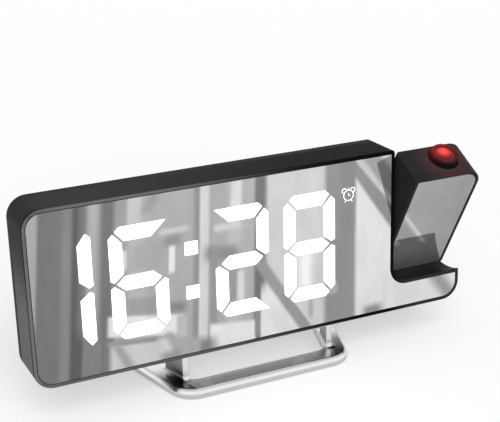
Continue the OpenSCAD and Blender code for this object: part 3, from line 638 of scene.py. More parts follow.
def new_group(name: str, ins: dict[str, float | None], outs: tuple[str, ...]) -> tuple:
    """Starts a shader node group.

    Args:
        name: the group's name.
        ins: input name to its usual value, or to None for a vector.
        outs: names of its outputs, all numbers.

    Returns:
        The group's tree, its graph, its input node's outputs and its output node's inputs.
    """
    tree = bpy.data.node_groups.new(name, "ShaderNodeTree")
    for label, value in ins.items():
        kind = "NodeSocketVector" if value is None else "NodeSocketFloat"
        made = tree.interface.new_socket(label, in_out="INPUT", socket_type=kind)
        if value is not None:
            made.default_value = value
    for label in outs:
        tree.interface.new_socket(label, in_out="OUTPUT", socket_type="NodeSocketFloat")
    graph = Graph(tree)
    source, sink = graph.node("NodeGroupInput"), graph.node("NodeGroupOutput")
    return tree, graph, source.outputs, sink.inputs


class Effects:
    """The shared shader groups, each built once."""

    def __init__(self) -> None:
        """Builds every group."""
        self.grain = self._grain()
        self.wear = self._wear()
        self.patch = self._patch()
        self.streaks = self._streaks()
        self.falloff = self._falloff()

    @staticmethod
    def _grain() -> Tree:
        """Fine moulded grain: a height, and a roughness that varies a little from place to place.

        Returns:
            The group, with outputs Height and Roughness.
        """
        tree, g, ins, outs = new_group(
            "moulded_grain", {"Vector": None, "Scale": 2500.0, "Roughness": 0.4, "Spread": 0.06},
            ("Height", "Roughness"))
        slow = g.rough(ins["Vector"], 60.0, 3.0)
        swing = g.math("MULTIPLY_ADD", slow, 2.0, -1.0)
        g.feed(outs["Height"], g.rough(ins["Vector"], ins["Scale"], 2.0))
        g.feed(outs["Roughness"], g.math("MULTIPLY_ADD", swing, ins["Spread"], ins["Roughness"]))
        return tree

    @staticmethod
    def _wear() -> Tree:
        """Handling wear: a mask on sharp outer edges, broken up by noise.

        Returns:
            The group, with output Mask.
        """
        tree, g, ins, outs = new_group("edge_wear", {"Vector": None, "Amount": 0.5}, ("Mask",))
        edge = g.ramp(g.node("ShaderNodeNewGeometry").outputs["Pointiness"], 0.52, 0.60)
        broken = g.ramp(g.rough(ins["Vector"], 420.0, 4.0), 0.35, 0.75)
        g.feed(outs["Mask"], g.times(g.times(edge, broken), ins["Amount"]))
        return tree

    @staticmethod
    def _patch() -> Tree:
        """A soft slanted patch of painted light laid over a tone.

        The mask is 1 where |x - X - Lean (z - Z)| is within Half X and |z - Z - Tilt (x - X)|
        within Half Z, and eases to 0 over Soft X and Soft Z.

        Returns:
            The group, with output Tone.
        """
        tree, g, ins, outs = new_group(
            "painted_light_patch",
            {"Under": 0.5, "Place": None, "X": 0.0, "Z": 0.0, "Half X": 1.0, "Half Z": 1.0,
             "Soft X": 1.0, "Soft Z": 1.0, "Lean": 0.0, "Tilt": 0.0, "Tone": 1.0}, ("Tone",))
        x, _, z = g.split(ins["Place"])
        dx, dz = g.math("SUBTRACT", x, ins["X"]), g.math("SUBTRACT", z, ins["Z"])
        masks = []
        for this, other, slant, half, soft in ((dx, dz, "Lean", "Half X", "Soft X"),
                                               (dz, dx, "Tilt", "Half Z", "Soft Z")):
            off = g.math("ABSOLUTE", g.math("SUBTRACT", this, g.times(other, ins[slant])))
            masks.append(g.ramp(off, ins[half], g.math("ADD", ins[half], ins[soft]), 1.0, 0.0))
        step = g.math("SUBTRACT", ins["Tone"], ins["Under"])
        g.feed(outs["Tone"], g.math("MULTIPLY_ADD", step, g.times(*masks), ins["Under"]))
        return tree

    @staticmethod
    def _streaks() -> Tree:
        """Brushed metal: long fine lines along X.

        Returns:
            The group, with outputs Height and Tone, from 0 to 1.
        """
        tree, g, ins, outs = new_group("brushed_lines", {"Vector": None, "Length": 0.02},
                                       ("Height", "Tone"))
        squash = g.node("ShaderNodeCombineXYZ", {0: ins["Length"], 1: 1.0, 2: 1.0}).outputs[0]
        place = g.node("ShaderNodeVectorMath", {0: ins["Vector"], 1: squash},
                       operation="MULTIPLY").outputs[0]
        g.feed(outs["Height"], g.rough(place, 6000.0, 3.0))
        g.feed(outs["Tone"], g.rough(place, 2200.0, 2.0))
        return tree

    @staticmethod
    def _falloff() -> Tree:
        """A ball of light: 1 within the inner radius of a centre, easing to 0 at the outer one.

        Returns:
            The group, with output Mask.
        """
        tree, g, ins, outs = new_group(
            "glow_falloff", {"Vector": None, "Centre": None, "Inner": 0.0, "Outer": 0.01},
            ("Mask",))
        away = g.node("ShaderNodeVectorMath", {0: ins["Vector"], 1: ins["Centre"]},
                      operation="DISTANCE").outputs["Value"]
        g.feed(outs["Mask"], g.ramp(away, ins["Inner"], ins["Outer"], 1.0, 0.0))
        return tree


# ---------------- finishes

class Paint:
    """A material in the making: its graph, its Principled shader and its object coordinates."""

    def __init__(self, name: str, effects: Effects) -> None:
        """Starts a material with a Principled shader.

        Args:
            name: the material's name.
            effects: the shared shader groups.
        """
        self.material = bpy.data.materials.new(name)
        self.material.use_nodes = True
        self.graph = Graph(self.material.node_tree)
        self.graph.tree.nodes.clear()
        self.effects = effects
        self.shader = self.graph.node("ShaderNodeBsdfPrincipled")
        out = self.graph.node("ShaderNodeOutputMaterial")
        self.graph.tree.links.new(self.shader.outputs[0], out.inputs[0])
        self.place = self.graph.node("ShaderNodeTexCoord").outputs["Object"]

    def upright(self, body: Body) -> Socket:
        """Object coordinates in millimetres, turned back to where the body stands upright.

        Args:
            body: the clock, or the projector, which is then closed.

        Returns:
            The coordinates.
        """
        closed = body is Body.PROJECTOR
        turn = STANCE.lean - (STANCE.tilt if closed else 0.0)
        start = STANCE.from_arm(np.zeros(3)) if closed else STANCE.from_clock(np.zeros(3))
        return self.graph.node("ShaderNodeMapping", {
            "Vector": self.place, "Location": tuple(start.tolist()),
            "Rotation": (math.radians(turn), 0.0, 0.0), "Scale": (1 / MM,) * 3}).outputs[0]

    def group(self, tree: Tree, **inputs: Value) -> bpy.types.Node:
        """Places a shared group.

        Args:
            tree: the group.
            inputs: input name, with an underscore for a space, to its value.

        Returns:
            The group's node.
        """
        made = self.graph.node("ShaderNodeGroup", node_tree=tree)
        for key, value in inputs.items():
            self.graph.feed(made.inputs[key.replace("_", " ")], value)
        return made

    def set(self, **values: Value) -> None:
        """Sets or links inputs of the Principled shader; an underscore stands for a space."""
        for key, value in values.items():
            self.graph.feed(self.shader.inputs[key.replace("_", " ")], value)

    def bump(self, height: Socket, strength: float, distance: float) -> None:
        """Feeds a height through a Bump node into the shader's normal."""
        self.set(Normal=self.graph.node("ShaderNodeBump", {
            "Height": height, "Strength": strength, "Distance": distance * MM}).outputs[0])

    def grey(self, tone: Socket, blue: float = 1.0) -> Socket:
        """A grey of the given tone whose blue is a little off."""
        last = tone if blue == 1.0 else self.graph.times(tone, blue)
        return self.graph.node("ShaderNodeCombineColor", {0: tone, 1: tone, 2: last}).outputs[0]


@dataclass(frozen=True)
class Patch:
    """One soft patch of painted light on a face, millimetres: a painted highlight on the case's
    rim, a painted reflection on a mirror.

    Args:
        x, z: place of its middle.
        half_x, half_z: how far it reaches across and up.
        tone: its linear tone.
        soft_x, soft_z: softness of its sides and its ends.
        lean: how far it leans aside, per millimetre up.
        tilt: how far it climbs, per millimetre across.
    """

    x: float
    z: float
    half_x: float
    half_z: float
    tone: float
    soft_x: float = 1.0
    soft_z: float = 1.0
    lean: float = 0.0
    tilt: float = 0.0

    INSIDE = 0.3  # how far the easing starts inside the reach, in softnesses
    EASING = 1.6  # length of the easing, in softnesses

    def over(self, paint: Paint, place: Socket, under: Value) -> Socket:
        """Lays the patch over a tone.

        Args:
            paint: the material.
            place: upright coordinates, millimetres.
            under: the tone under it.

        Returns:
            The new tone.
        """
        half_x, half_z = (max(half - self.INSIDE * soft, 0.0) for half, soft in (
            (self.half_x, self.soft_x), (self.half_z, self.soft_z)))
        return paint.group(
            paint.effects.patch, Under=under, Place=place, X=self.x, Z=self.z, Half_X=half_x,
            Half_Z=half_z, Soft_X=self.EASING * self.soft_x, Soft_Z=self.EASING * self.soft_z,
            Lean=self.lean, Tilt=self.tilt, Tone=self.tone).outputs["Tone"]


@dataclass(frozen=True)
class RedGlow:
    """Red light that the lens throws on what is round it.

    Args:
        centre: the lens in the row frame.
        inner, outer: radii of full light and of its end.
        colour: linear colour of the light.
    """

    centre: Triple
    inner: float
    outer: float
    colour: Colour

    def on(self, paint: Paint) -> None:
        """Adds the light to a material, as a colour that falls off round the lens.

        Args:
            paint: the material.
        """
        mask = paint.group(paint.effects.falloff, Vector=paint.place, Centre=self.centre,
                           Inner=self.inner * MM, Outer=self.outer * MM).outputs[0]
        paint.set(Emission_Color=paint.graph.mix(mask, (0, 0, 0, 1), rgba(self.colour)),
                  Emission_Strength=1.0)


class Recipe:
    """How a finish is made; each kind of finish wires its own nodes."""

    def make(self, name: str, effects: Effects) -> Material:
        """Makes the material.

        Args:
            name: the material's name.
            effects: the shared shader groups.

        Returns:
            The material.
        """
        paint = Paint(name, effects)
        self.wire(paint)
        return paint.material

    def wire(self, paint: Paint) -> None:
        """Wires colour, roughness and bump into a material in the making."""
        raise NotImplementedError


@dataclass(frozen=True)
class CasePaintedLight:
    """Painted light and shade on the black case, in the upright clock.

    Args:
        painted_patches, rim: painted highlights on the front rim, and its linear colour there.
        across, ledge: gain of the painted light from the left end to the right, and more right of
            the notch.
        flank: 1 on the left flank and 0 elsewhere; the next two act on it alone.
        climb, seam: gain of painted light added from its foot to its top, and its loss behind the
            front edge.
        behind: how the rim's painted highlights start behind the front face.
    """

    painted_patches: tuple[Patch, ...] = (
        Patch(-96.0, 30.0, 2.0, 70.0, 0.47, 3.0, 10.0),
        Patch(-60.0, 0.0, 34.0, 2.2, 0.26, 60.0, 1.0),
        Patch(-66.0, 72.0, 26.0, 1.9, 0.42, 50.0, 0.6))
    rim: Colour = (0.22, 0.22, 0.225)
    across: Change = (-96.0, 50.0, 2.9, 0.25)
    ledge: Change = (61.0, 70.0, 0.0, 1.4)
    flank: Change = (-94.0, -84.0, 1.0, 0.0)
    climb: Change = (26.0, 60.0, 2.6, -0.25)
    seam: Change = (0.75, 0.95, 0.75, 0.0)
    behind: Change = (0.02, 0.10, 1.0, 0.0)

    def over(self, paint: Paint, base: Socket) -> Socket:
        """Lays the painted light and shade over a base colour.

        Args:
            paint: the material.
            base: the base colour.

        Returns:
            The new colour.
        """
        g = paint.graph
        place = paint.upright(Body.CLOCK)
        x, y, z = g.split(place)
        # painted light: a gain that falls from the left end to the right and rises low on the left
        # flank
        flank = g.ramp(x, *self.flank)
        gain = g.math("ADD", g.ramp(x, *self.across), g.ramp(x, *self.ledge))
        gain = g.times(gain, g.math("ADD", 1.0, g.times(flank, g.ramp(z, *self.climb))))
        gain = g.times(gain, g.math("SUBTRACT", 1.0, g.times(flank, g.ramp(y, *self.seam))))
        shaded = g.node("ShaderNodeVectorMath", {0: base, "Scale": gain},
                        operation="SCALE").outputs[0]
        # painted highlights on the front rim
        tone: Value = 0.0
        for patch in self.painted_patches:
            tone = patch.over(paint, place, tone)
        return g.mix(g.times(tone, g.ramp(y, *self.behind)), shaded, rgba(self.rim))


@dataclass(frozen=True)
class Plastic(Recipe):
    """Moulded plastic with a fine grain and slightly worn edges.

    Args:
        colour, worn: linear colours of the plastic and of its worn edges.
        roughness: mean roughness.
        grain_mm: depth of the grain.
        shine: specular level.
        wear: strength of the edge wear.
        scatter: subsurface weight, for milky parts.
        tones: painted light and shade over the clock's case.
        glow: red light on it.
    """

    colour: Colour
    worn: Colour
    roughness: float
    grain_mm: float = 0.01
    shine: float = 0.2
    wear: float = 0.5
    scatter: float = 0.0
    tones: CasePaintedLight | None = None
    glow: RedGlow | None = None

    def wire(self, paint: Paint) -> None:
        """Wires a slightly cloudy colour, its wear and its grain.

        Args:
            paint: the material.
        """
        g, effects = paint.graph, paint.effects
        wear = paint.group(effects.wear, Vector=paint.place, Amount=self.wear).outputs[0]
        grain = paint.group(effects.grain, Vector=paint.place, Roughness=self.roughness,
                            Spread=0.05).outputs
        cloud = g.noise(paint.place, 90.0, 4.0)
        base = g.mix(cloud, rgba(self.colour, 0.85), rgba(self.colour, 1.15))
        # painted light and shade on the clock's case
        if self.tones:
            base = self.tones.over(paint, base)
        paint.set(Base_Color=g.mix(wear, base, rgba(self.worn)), Roughness=grain["Roughness"],
                  Specular_IOR_Level=self.shine, Subsurface_Weight=self.scatter,
                  Subsurface_Scale=0.002)
        if self.glow:
            self.glow.on(paint)
        paint.bump(grain["Height"], 0.35, self.grain_mm)


@dataclass(frozen=True)
class Metal(Recipe):
    """Machined or drawn metal with fine brushed lines.

    Args:
        colour: linear colour.
        roughness: mean roughness.
        line_mm: depth of the brushed lines.
        length: how far the lines are drawn out; smaller is longer.
    """

    colour: Colour
    roughness: float
    line_mm: float = 0.003
    length: float = 0.03

    def wire(self, paint: Paint) -> None:
        """Wires brushed lines and brighter worn edges.

        Args:
            paint: the material.
        """
        g, effects = paint.graph, paint.effects
        lines = paint.group(effects.streaks, Vector=paint.place, Length=self.length).outputs
        wear = paint.group(effects.wear, Vector=paint.place, Amount=0.35).outputs[0]
        tone = g.mix(lines["Tone"], rgba(self.colour, 0.93), rgba(self.colour))
        bright = (*[min(1.0, c * 1.15) for c in self.colour], 1)
        paint.set(Base_Color=g.mix(wear, tone, bright), Metallic=1.0,
                  Roughness=g.ramp(lines["Tone"], 0.3, 0.7, self.roughness - 0.03,
                                   self.roughness + 0.03))
        paint.bump(lines["Height"], 0.2, self.line_mm)


@dataclass(frozen=True)
class StandMetal(Recipe):
    """Satin silver of the stand with painted reflections, highlights and shade: darker on the flat
    top of the foot and the legs' broad faces.

    Heights are from the table, the rest is in the upright clock. As the legs slant, a place
    across first loses the slant times the depth.

    Args:
        table_shade_tone: linear tone of the painted shade along the foot's edge at the table.
        edge_light_tones: (height, softness, linear tone) of painted highlight and shade bands
            further up the edge.
        flat_z, flat_reflection_tone: height of the flat top, and tone of the painted reflection on
            it.
        beside_reflection_tone: its tone beside the legs, a painted reflection of the clock's dark
            underside.
        beside_x, beside_y: where that painted reflection turns dark outwards, and how it fades to
            the back.
        slant: how far the legs slant outwards, per millimetre of depth.
        leg_z, leg_reflection_tones: heights above the flat top, and tones, of the painted
            reflection on a leg's broad face.
        front_y, front_highlight_tone: end and softness of a painted highlight on its front edge,
            and its tone.
        outer_x, outer_reflection_tone: where the right leg's outer face starts, and the tone of the
            painted reflection on it.
        foot_z: heights above the flat top between which the leg's painted tones start.
        roughness, swing: mean roughness, and how far it swings to both sides.
    """

    table_shade_tone: float = 0.38
    edge_light_tones: tuple[Triple, ...] = ((0.7, 0.15, 0.56), (2.35, 0.2, 0.84), (3.45, 0.25, 0.55))
    flat_z: float = 4.2
    flat_reflection_tone: float = 0.80
    beside_reflection_tone: float = 0.20
    beside_x: Pair = (32.6, 33.6)
    beside_y: Change = (7.0, 19.0, 1.0, 0.0)
    slant: float = 0.268
    leg_z: Pair = (0.5, 9.0)
    leg_reflection_tones: Pair = (0.10, 0.30)
    front_y: Pair = (3.95, 0.3)
    front_highlight_tone: float = 0.74
    outer_x: Pair = (32.3, 32.9)
    outer_reflection_tone: float = 0.62
    foot_z: Pair = (0.1, 1.6)
    roughness: float = 0.26
    swing: float = 0.015

    def wire(self, paint: Paint) -> None:
        """Wires the painted reflections, highlights and shade of foot and legs, and the brushed
        lines.

        Args:
            paint: the material.
        """
        g = paint.graph
        height = g.split(paint.place)[2]
        across, deep, _ = g.split(paint.upright(Body.CLOCK))
        shift = g.times(deep, self.slant)
        aside = g.math("SUBTRACT", g.math("ABSOLUTE", across), shift)
        # painted reflection of the clock's dark underside on the flat top beside the legs
        beside = g.times(g.ramp(aside, *self.beside_x), g.ramp(deep, *self.beside_y))
        flat = g.level(beside, self.flat_reflection_tone, self.beside_reflection_tone)
        # painted shade along the table, then painted highlight and shade bands up the edge, then
        # the flat top
        tone: Value = self.table_shade_tone
        for at, soft, level in (*self.edge_light_tones, (self.flat_z - 0.1, 0.1, flat)):
            tone = g.level(g.ramp(height, (at - soft) * MM, (at + soft) * MM), tone, level)
        leg_low, leg_high, foot_low, foot_high = (
            (self.flat_z + rise) * MM for rise in (*self.leg_z, *self.foot_z))
        # the legs' broad faces carry a painted dark reflection, with a painted highlight on the
        # front edge
        front, soft = self.front_y
        leg = g.level(g.ramp(deep, front - soft, front + soft), self.front_highlight_tone,
                      g.ramp(height, leg_low, leg_high, *self.leg_reflection_tones))
        # the right leg's outer face carries a lighter painted reflection
        outer = g.ramp(g.math("SUBTRACT", across, shift), *self.outer_x)
        leg = g.level(outer, leg, self.outer_reflection_tone)
        tone = g.level(g.ramp(height, foot_low, foot_high), tone, leg)
        lines = paint.group(paint.effects.streaks, Vector=paint.place, Length=0.01).outputs
        tone = g.times(tone, g.ramp(lines["Tone"], 0.2, 0.8, 0.96, 1.02))
        paint.set(Base_Color=paint.grey(tone, 1.015), Metallic=1.0,
                  Roughness=g.ramp(lines["Tone"], 0.2, 0.8, self.roughness - self.swing,
                                   self.roughness + self.swing))
        paint.bump(lines["Height"], 0.04, 0.002)


@dataclass(frozen=True)
class MirrorFilm(Recipe):
    """Half-silvered film with painted reflections: its colour changes in soft tones.

    The upright tones fan out a little: they lie at x - (z - middle) (fan - fan_x x).

    Args:
        body: the body whose upright frame the tones use.
        base: tone of the painted reflection at the left end.
        steps: (place, softness, tone) of the painted reflection's changes to the right.
        painted_patches: painted reflections over it.
        fan, fan_x: slant of the tones at the middle, and its change per millimetre.
        fade, height: share of the painted reflection at bottom and top, darker towards the bottom,
            and height of the face.
        haze, veil: roughness of the film, and share of diffuse light in it.
        glow: red light on it.
    """

    body: Body
    base: float
    steps: tuple[Triple, ...]
    painted_patches: tuple[Patch, ...]
    fan: float = 0.0
    fan_x: float = 0.0
    fade: Pair = (1.0, 1.0)
    height: float = 72.0
    haze: float = 0.035
    veil: float = 0.36
    glow: RedGlow | None = None

    EASING = 1.3  # half the length of a step's easing, in softnesses

    def wire(self, paint: Paint) -> None:
        """Wires the painted reflections, faint streaks and a haze of dust.

        Args:
            paint: the material.
        """
        g = paint.graph
        place = self._fanned(paint)
        across, _, up = g.split(place)
        # the painted reflection, step by step and then patch by patch
        tone: Value = self.base
        for at, soft, level in self.steps:
            ease = self.EASING * soft
            tone = g.level(g.ramp(across, at - ease, at + ease), tone, level)
        for patch in self.painted_patches:
            tone = patch.over(paint, place, tone)
        streak = g.noise(paint.place, 150.0, 3.0, (1.0, 1.0, 0.35))
        tone = g.times(tone, g.ramp(streak, 0.3, 0.7, 0.93, 1.03))
        tone = g.times(tone, g.ramp(up, 0.0, self.height, *self.fade))
        dust = paint.group(paint.effects.grain, Vector=paint.place, Scale=900.0,
                           Roughness=self.haze, Spread=0.01).outputs["Roughness"]
        paint.set(Base_Color=paint.grey(tone), Metallic=1.0 - self.veil, Roughness=dust,
                  Specular_IOR_Level=0.3)
        if self.glow:
            self.glow.on(paint)

    def _fanned(self, paint: Paint) -> Socket:
        """Upright coordinates with the fan taken out of x.

        Args:
            paint: the material.

        Returns:
            The coordinates.
        """
        g = paint.graph
        x, y, z = g.split(paint.upright(self.body))
        slant = g.math("MULTIPLY_ADD", x, -self.fan_x, self.fan)
        shift = g.times(g.math("SUBTRACT", z, self.height / 2), slant)
        straight = g.math("SUBTRACT", x, shift)
        return g.node("ShaderNodeCombineXYZ", {0: straight, 1: y, 2: z}).outputs[0]


@dataclass(frozen=True)
class Glow(Recipe):
    """A milky diffuser lit from behind.

    Args:
        colour: linear colour of the light.
        strength: its strength; 1 is white.
    """

    colour: Colour
    strength: float

    def wire(self, paint: Paint) -> None:
        """Wires an almost even light.

        Args:
            paint: the material.
        """
        g = paint.graph
        even = g.ramp(g.noise(paint.place, 160.0, 2.0), 0.2, 0.6, 0.97, 1.0)
        colour = g.mix(even, rgba(self.colour, 0.96), rgba(self.colour))
        paint.set(Base_Color=colour, Emission_Color=colour, Emission_Strength=self.strength,
                  Roughness=0.35)


@dataclass(frozen=True)
class LensGlow(Recipe):
    """The lit projection lens: red, hotter towards its middle.

    Args:
        centre: middle of the hot light in the row frame.
        hot, rim, glass: linear colours of the middle, the rim and the glass itself.
        radius: how far the hot light reaches.
        strength: strength of the light.
    """

    centre: Triple
    hot: Colour = (1.0, 0.06, 0.06)
    rim: Colour = (0.075, 0.002, 0.003)
    glass: Colour = (0.03, 0.001, 0.001)
    radius: float = 4.0
    strength: float = 1.3

    def wire(self, paint: Paint) -> None:
        """Wires the light from the rim's colour to the middle's.

        Args:
            paint: the material.
        """
        heat = paint.group(paint.effects.falloff, Vector=paint.place, Centre=self.centre,
                           Inner=0.0, Outer=self.radius * MM).outputs[0]
        paint.set(Base_Color=rgba(self.glass), Roughness=0.08, Specular_IOR_Level=0.2,
                  Emission_Color=paint.graph.mix(heat, rgba(self.rim), rgba(self.hot)),
                  Emission_Strength=self.strength)


@dataclass(frozen=True)
class CircuitBoard(Recipe):
    """Green solder mask over copper tracks on a square grid."""

    mask: Colour = (0.008, 0.09, 0.03)
    track: Colour = (0.02, 0.20, 0.06)

    def wire(self, paint: Paint) -> None:
        """Wires tracks that stand a little proud under a clear coat.

        Args:
            paint: the material.
        """
        g = paint.graph
        cells = g.node("ShaderNodeTexVoronoi", {"Vector": paint.place, "Scale": 320.0},
                       distance="MANHATTAN", feature="F1").outputs["Distance"]
        line = g.ramp(cells, 0.42, 0.5)
        grain = paint.group(paint.effects.grain, Vector=paint.place, Roughness=0.35,
                            Spread=0.08).outputs["Roughness"]
        paint.set(Base_Color=g.mix(line, rgba(self.mask), rgba(self.track)), Roughness=grain,
                  Coat_Weight=0.4, Coat_Roughness=0.2)
        paint.bump(line, 0.4, 0.03)


# painted reflections on the clock's mirror, as soft upright tones: place, softness, tone
CLOCK_REFLECTION_STEPS = (
    (-92.9, 0.7, 0.181), (-83.2, 1.2, 0.243), (-79.3, 1.0, 0.112), (-76.6, 1.4, 0.195),
    (-73.4, 1.2, 0.42), (-68.4, 1.6, 0.178), (-62.6, 1.2, 0.35), (-56.8, 1.4, 0.48),
    (-50.5, 2.5, 0.42), (-29.4, 0.9, 0.285), (-26.9, 0.6, 0.655), (-22.9, 0.7, 0.41),
    (-15.0, 1.4, 0.49), (-8.6, 1.6, 0.45), (-2.9, 0.8, 0.187), (2.3, 1.2, 0.62),
    (29.2, 1.3, 0.285), (43.7, 1.0, 0.745))
# softer painted reflections over them, from the left to the right
CLOCK_REFLECTION_PATCHES = tuple(Patch(*numbers) for numbers in (
    (-76.0, 4.0, 1.7, 12.0, 0.108, 1.2, 6.0), (-70.5, 4.0, 3.0, 12.0, 0.22, 1.5, 9.0),
    (-64.0, 8.0, 1.4, 10.0, 0.20, 1.0, 3.0), (-54.5, 65.0, 2.0, 6.0, 0.56, 1.2, 3.0),
    (-47.5, 68.0, 1.0, 3.0, 0.33, 2.4, 3.0, 0.5), (-38.0, 54.6, 5.0, 0.5, 0.60, 2.0, 1.4),
    (-38.6, 50.5, 2.0, 0.8, 0.30, 2.8, 2.6), (-38.6, 43.0, 0.9, 4.6, 0.80, 0.8, 1.6),
    (-49.5, 46.0, 4.0, 3.5, 0.40, 4.0, 3.0), (-59.0, 46.0, 1.0, 3.0, 0.72, 1.2, 2.0),
    (-49.0, 26.0, 6.5, 2.5, 0.35, 3.0, 2.0, 0.0, -0.1),
    (-36.5, 22.8, 2.8, 1.0, 0.26, 2.6, 2.2, 0.0, -0.1),
    (-49.0, 17.6, 14.6, 3.6, 0.79, 1.4, 1.2, 0.0, -0.17),
    (-50.0, 5.0, 12.0, 6.0, 0.62, 2.0, 1.2, 0.0, -0.12),
    (-54.0, 12.0, 9.0, 0.6, 0.32, 2.0, 1.0, 0.0, -0.1),
    (-57.6, 6.4, 0.7, 5.0, 0.38, 2.4, 1.6, -0.55), (-37.0, 8.0, 0.7, 4.0, 0.40, 2.2, 1.8, -0.5),
    (-38.0, 1.6, 2.6, 1.8, 0.33, 3.2, 2.6), (-34.0, 14.5, 1.6, 4.0, 0.52, 1.0, 1.4),
    (-11.2, 65.0, 1.6, 5.0, 0.70, 1.4, 1.6), (-15.0, 52.3, 5.0, 0.8, 0.60, 1.6, 1.4),
    (-17.0, 41.5, 5.4, 1.6, 0.27, 4.0, 3.0, 0.0, -0.15), (-20.4, 24.0, 0.9, 16.0, 0.31, 1.6, 4.0),
    (-11.6, 27.0, 1.9, 6.0, 0.34, 1.6, 2.6), (-8.9, 26.0, 0.9, 6.0, 0.70, 1.2, 1.4),
    (-12.0, 6.0, 9.4, 4.2, 0.78, 1.0, 1.6, 0.0, -0.12), (-1.0, 9.0, 0.8, 5.0, 0.28, 1.0, 1.4),
    (4.6, 9.0, 4.0, 12.0, 0.76, 0.8, 5.0), (12.0, 8.0, 8.0, 5.0, 0.74, 1.0, 4.0, -0.6),
    (-24.0, 2.6, 2.4, 2.6, 0.23, 4.2, 3.4, 0.0, -0.1), (-30.0, 4.2, 3.0, 3.0, 0.40, 2.0, 2.0),
    (10.8, 17.0, 2.1, 17.5, 0.325, 1.4, 3.5, -0.645), (24.6, 7.0, 1.0, 7.0, 0.62, 1.2, 2.0),
    (22.9, 10.0, 0.6, 3.0, 0.45, 0.8, 2.0), (20.3, 27.0, 1.4, 6.0, 0.90, 3.0, 2.4),
    (33.4, 16.4, 1.0, 1.6, 0.44, 1.6, 1.6), (51.6, 57.0, 2.9, 19.0, 0.29, 1.6, 2.0, -0.70),
    (58.0, 62.0, 3.6, 9.0, 0.34, 3.0, 2.0, -0.75), (50.3, 63.4, 0.45, 8.0, 0.58, 1.3, 2.0, -0.82),
    (40.0, 60.0, 2.4, 16.0, 0.262, 2.0, 6.0), (52.0, 0.6, 2.6, 3.2, 0.27, 3.4, 2.6),
    (86.8, 7.6, 1.8, 7.0, 0.33, 4.2, 2.0, -0.68)))
# the same painted reflections on the projector's mirror
ARM_REFLECTION_STEPS = ((80.0, 12.0, 0.285),)
ARM_REFLECTION_PATCHES = tuple(Patch(*numbers) for numbers in (
    (68.0, 38.0, 3.4, 6.0, 0.30, 1.5, 2.0, -0.8), (71.8, 42.0, 0.4, 10.5, 0.58, 1.3, 1.0, -0.8),
    (64.8, 34.6, 0.8, 1.6, 0.58, 1.6, 1.6, -0.8)))


class Finish(Enum):
    """The clock's finishes, each with its material's name."""

    CASE = "gloss_black"
    CASE_BACK = "satin_black"
    ARM = "arm_black"
    ARM_BACK = "arm_back"
    FOCUS_RING = "ring_black"
    KEY = "key_black"
    KEY_SIGN = "key_mark"
    FITTING = "part_black"
    DIFFUSER = "milky"
    BUSH = "bearing_plastic"
    RUBBER = "soft_rubber"
    OPTIC = "tinted_optic"
    STAND = "satin_silver"
    STEEL = "bright_steel"
    BRASS = "turned_brass"
    LIT = "lit_white"
    LAMP = "lamp_red"
    CHIP = "led_chip"
    BOARD = "solder_mask"
    LENS = "lens_red"
    CLOCK_MIRROR = "clock_mirror"
    ARM_MIRROR = "projector_mirror"


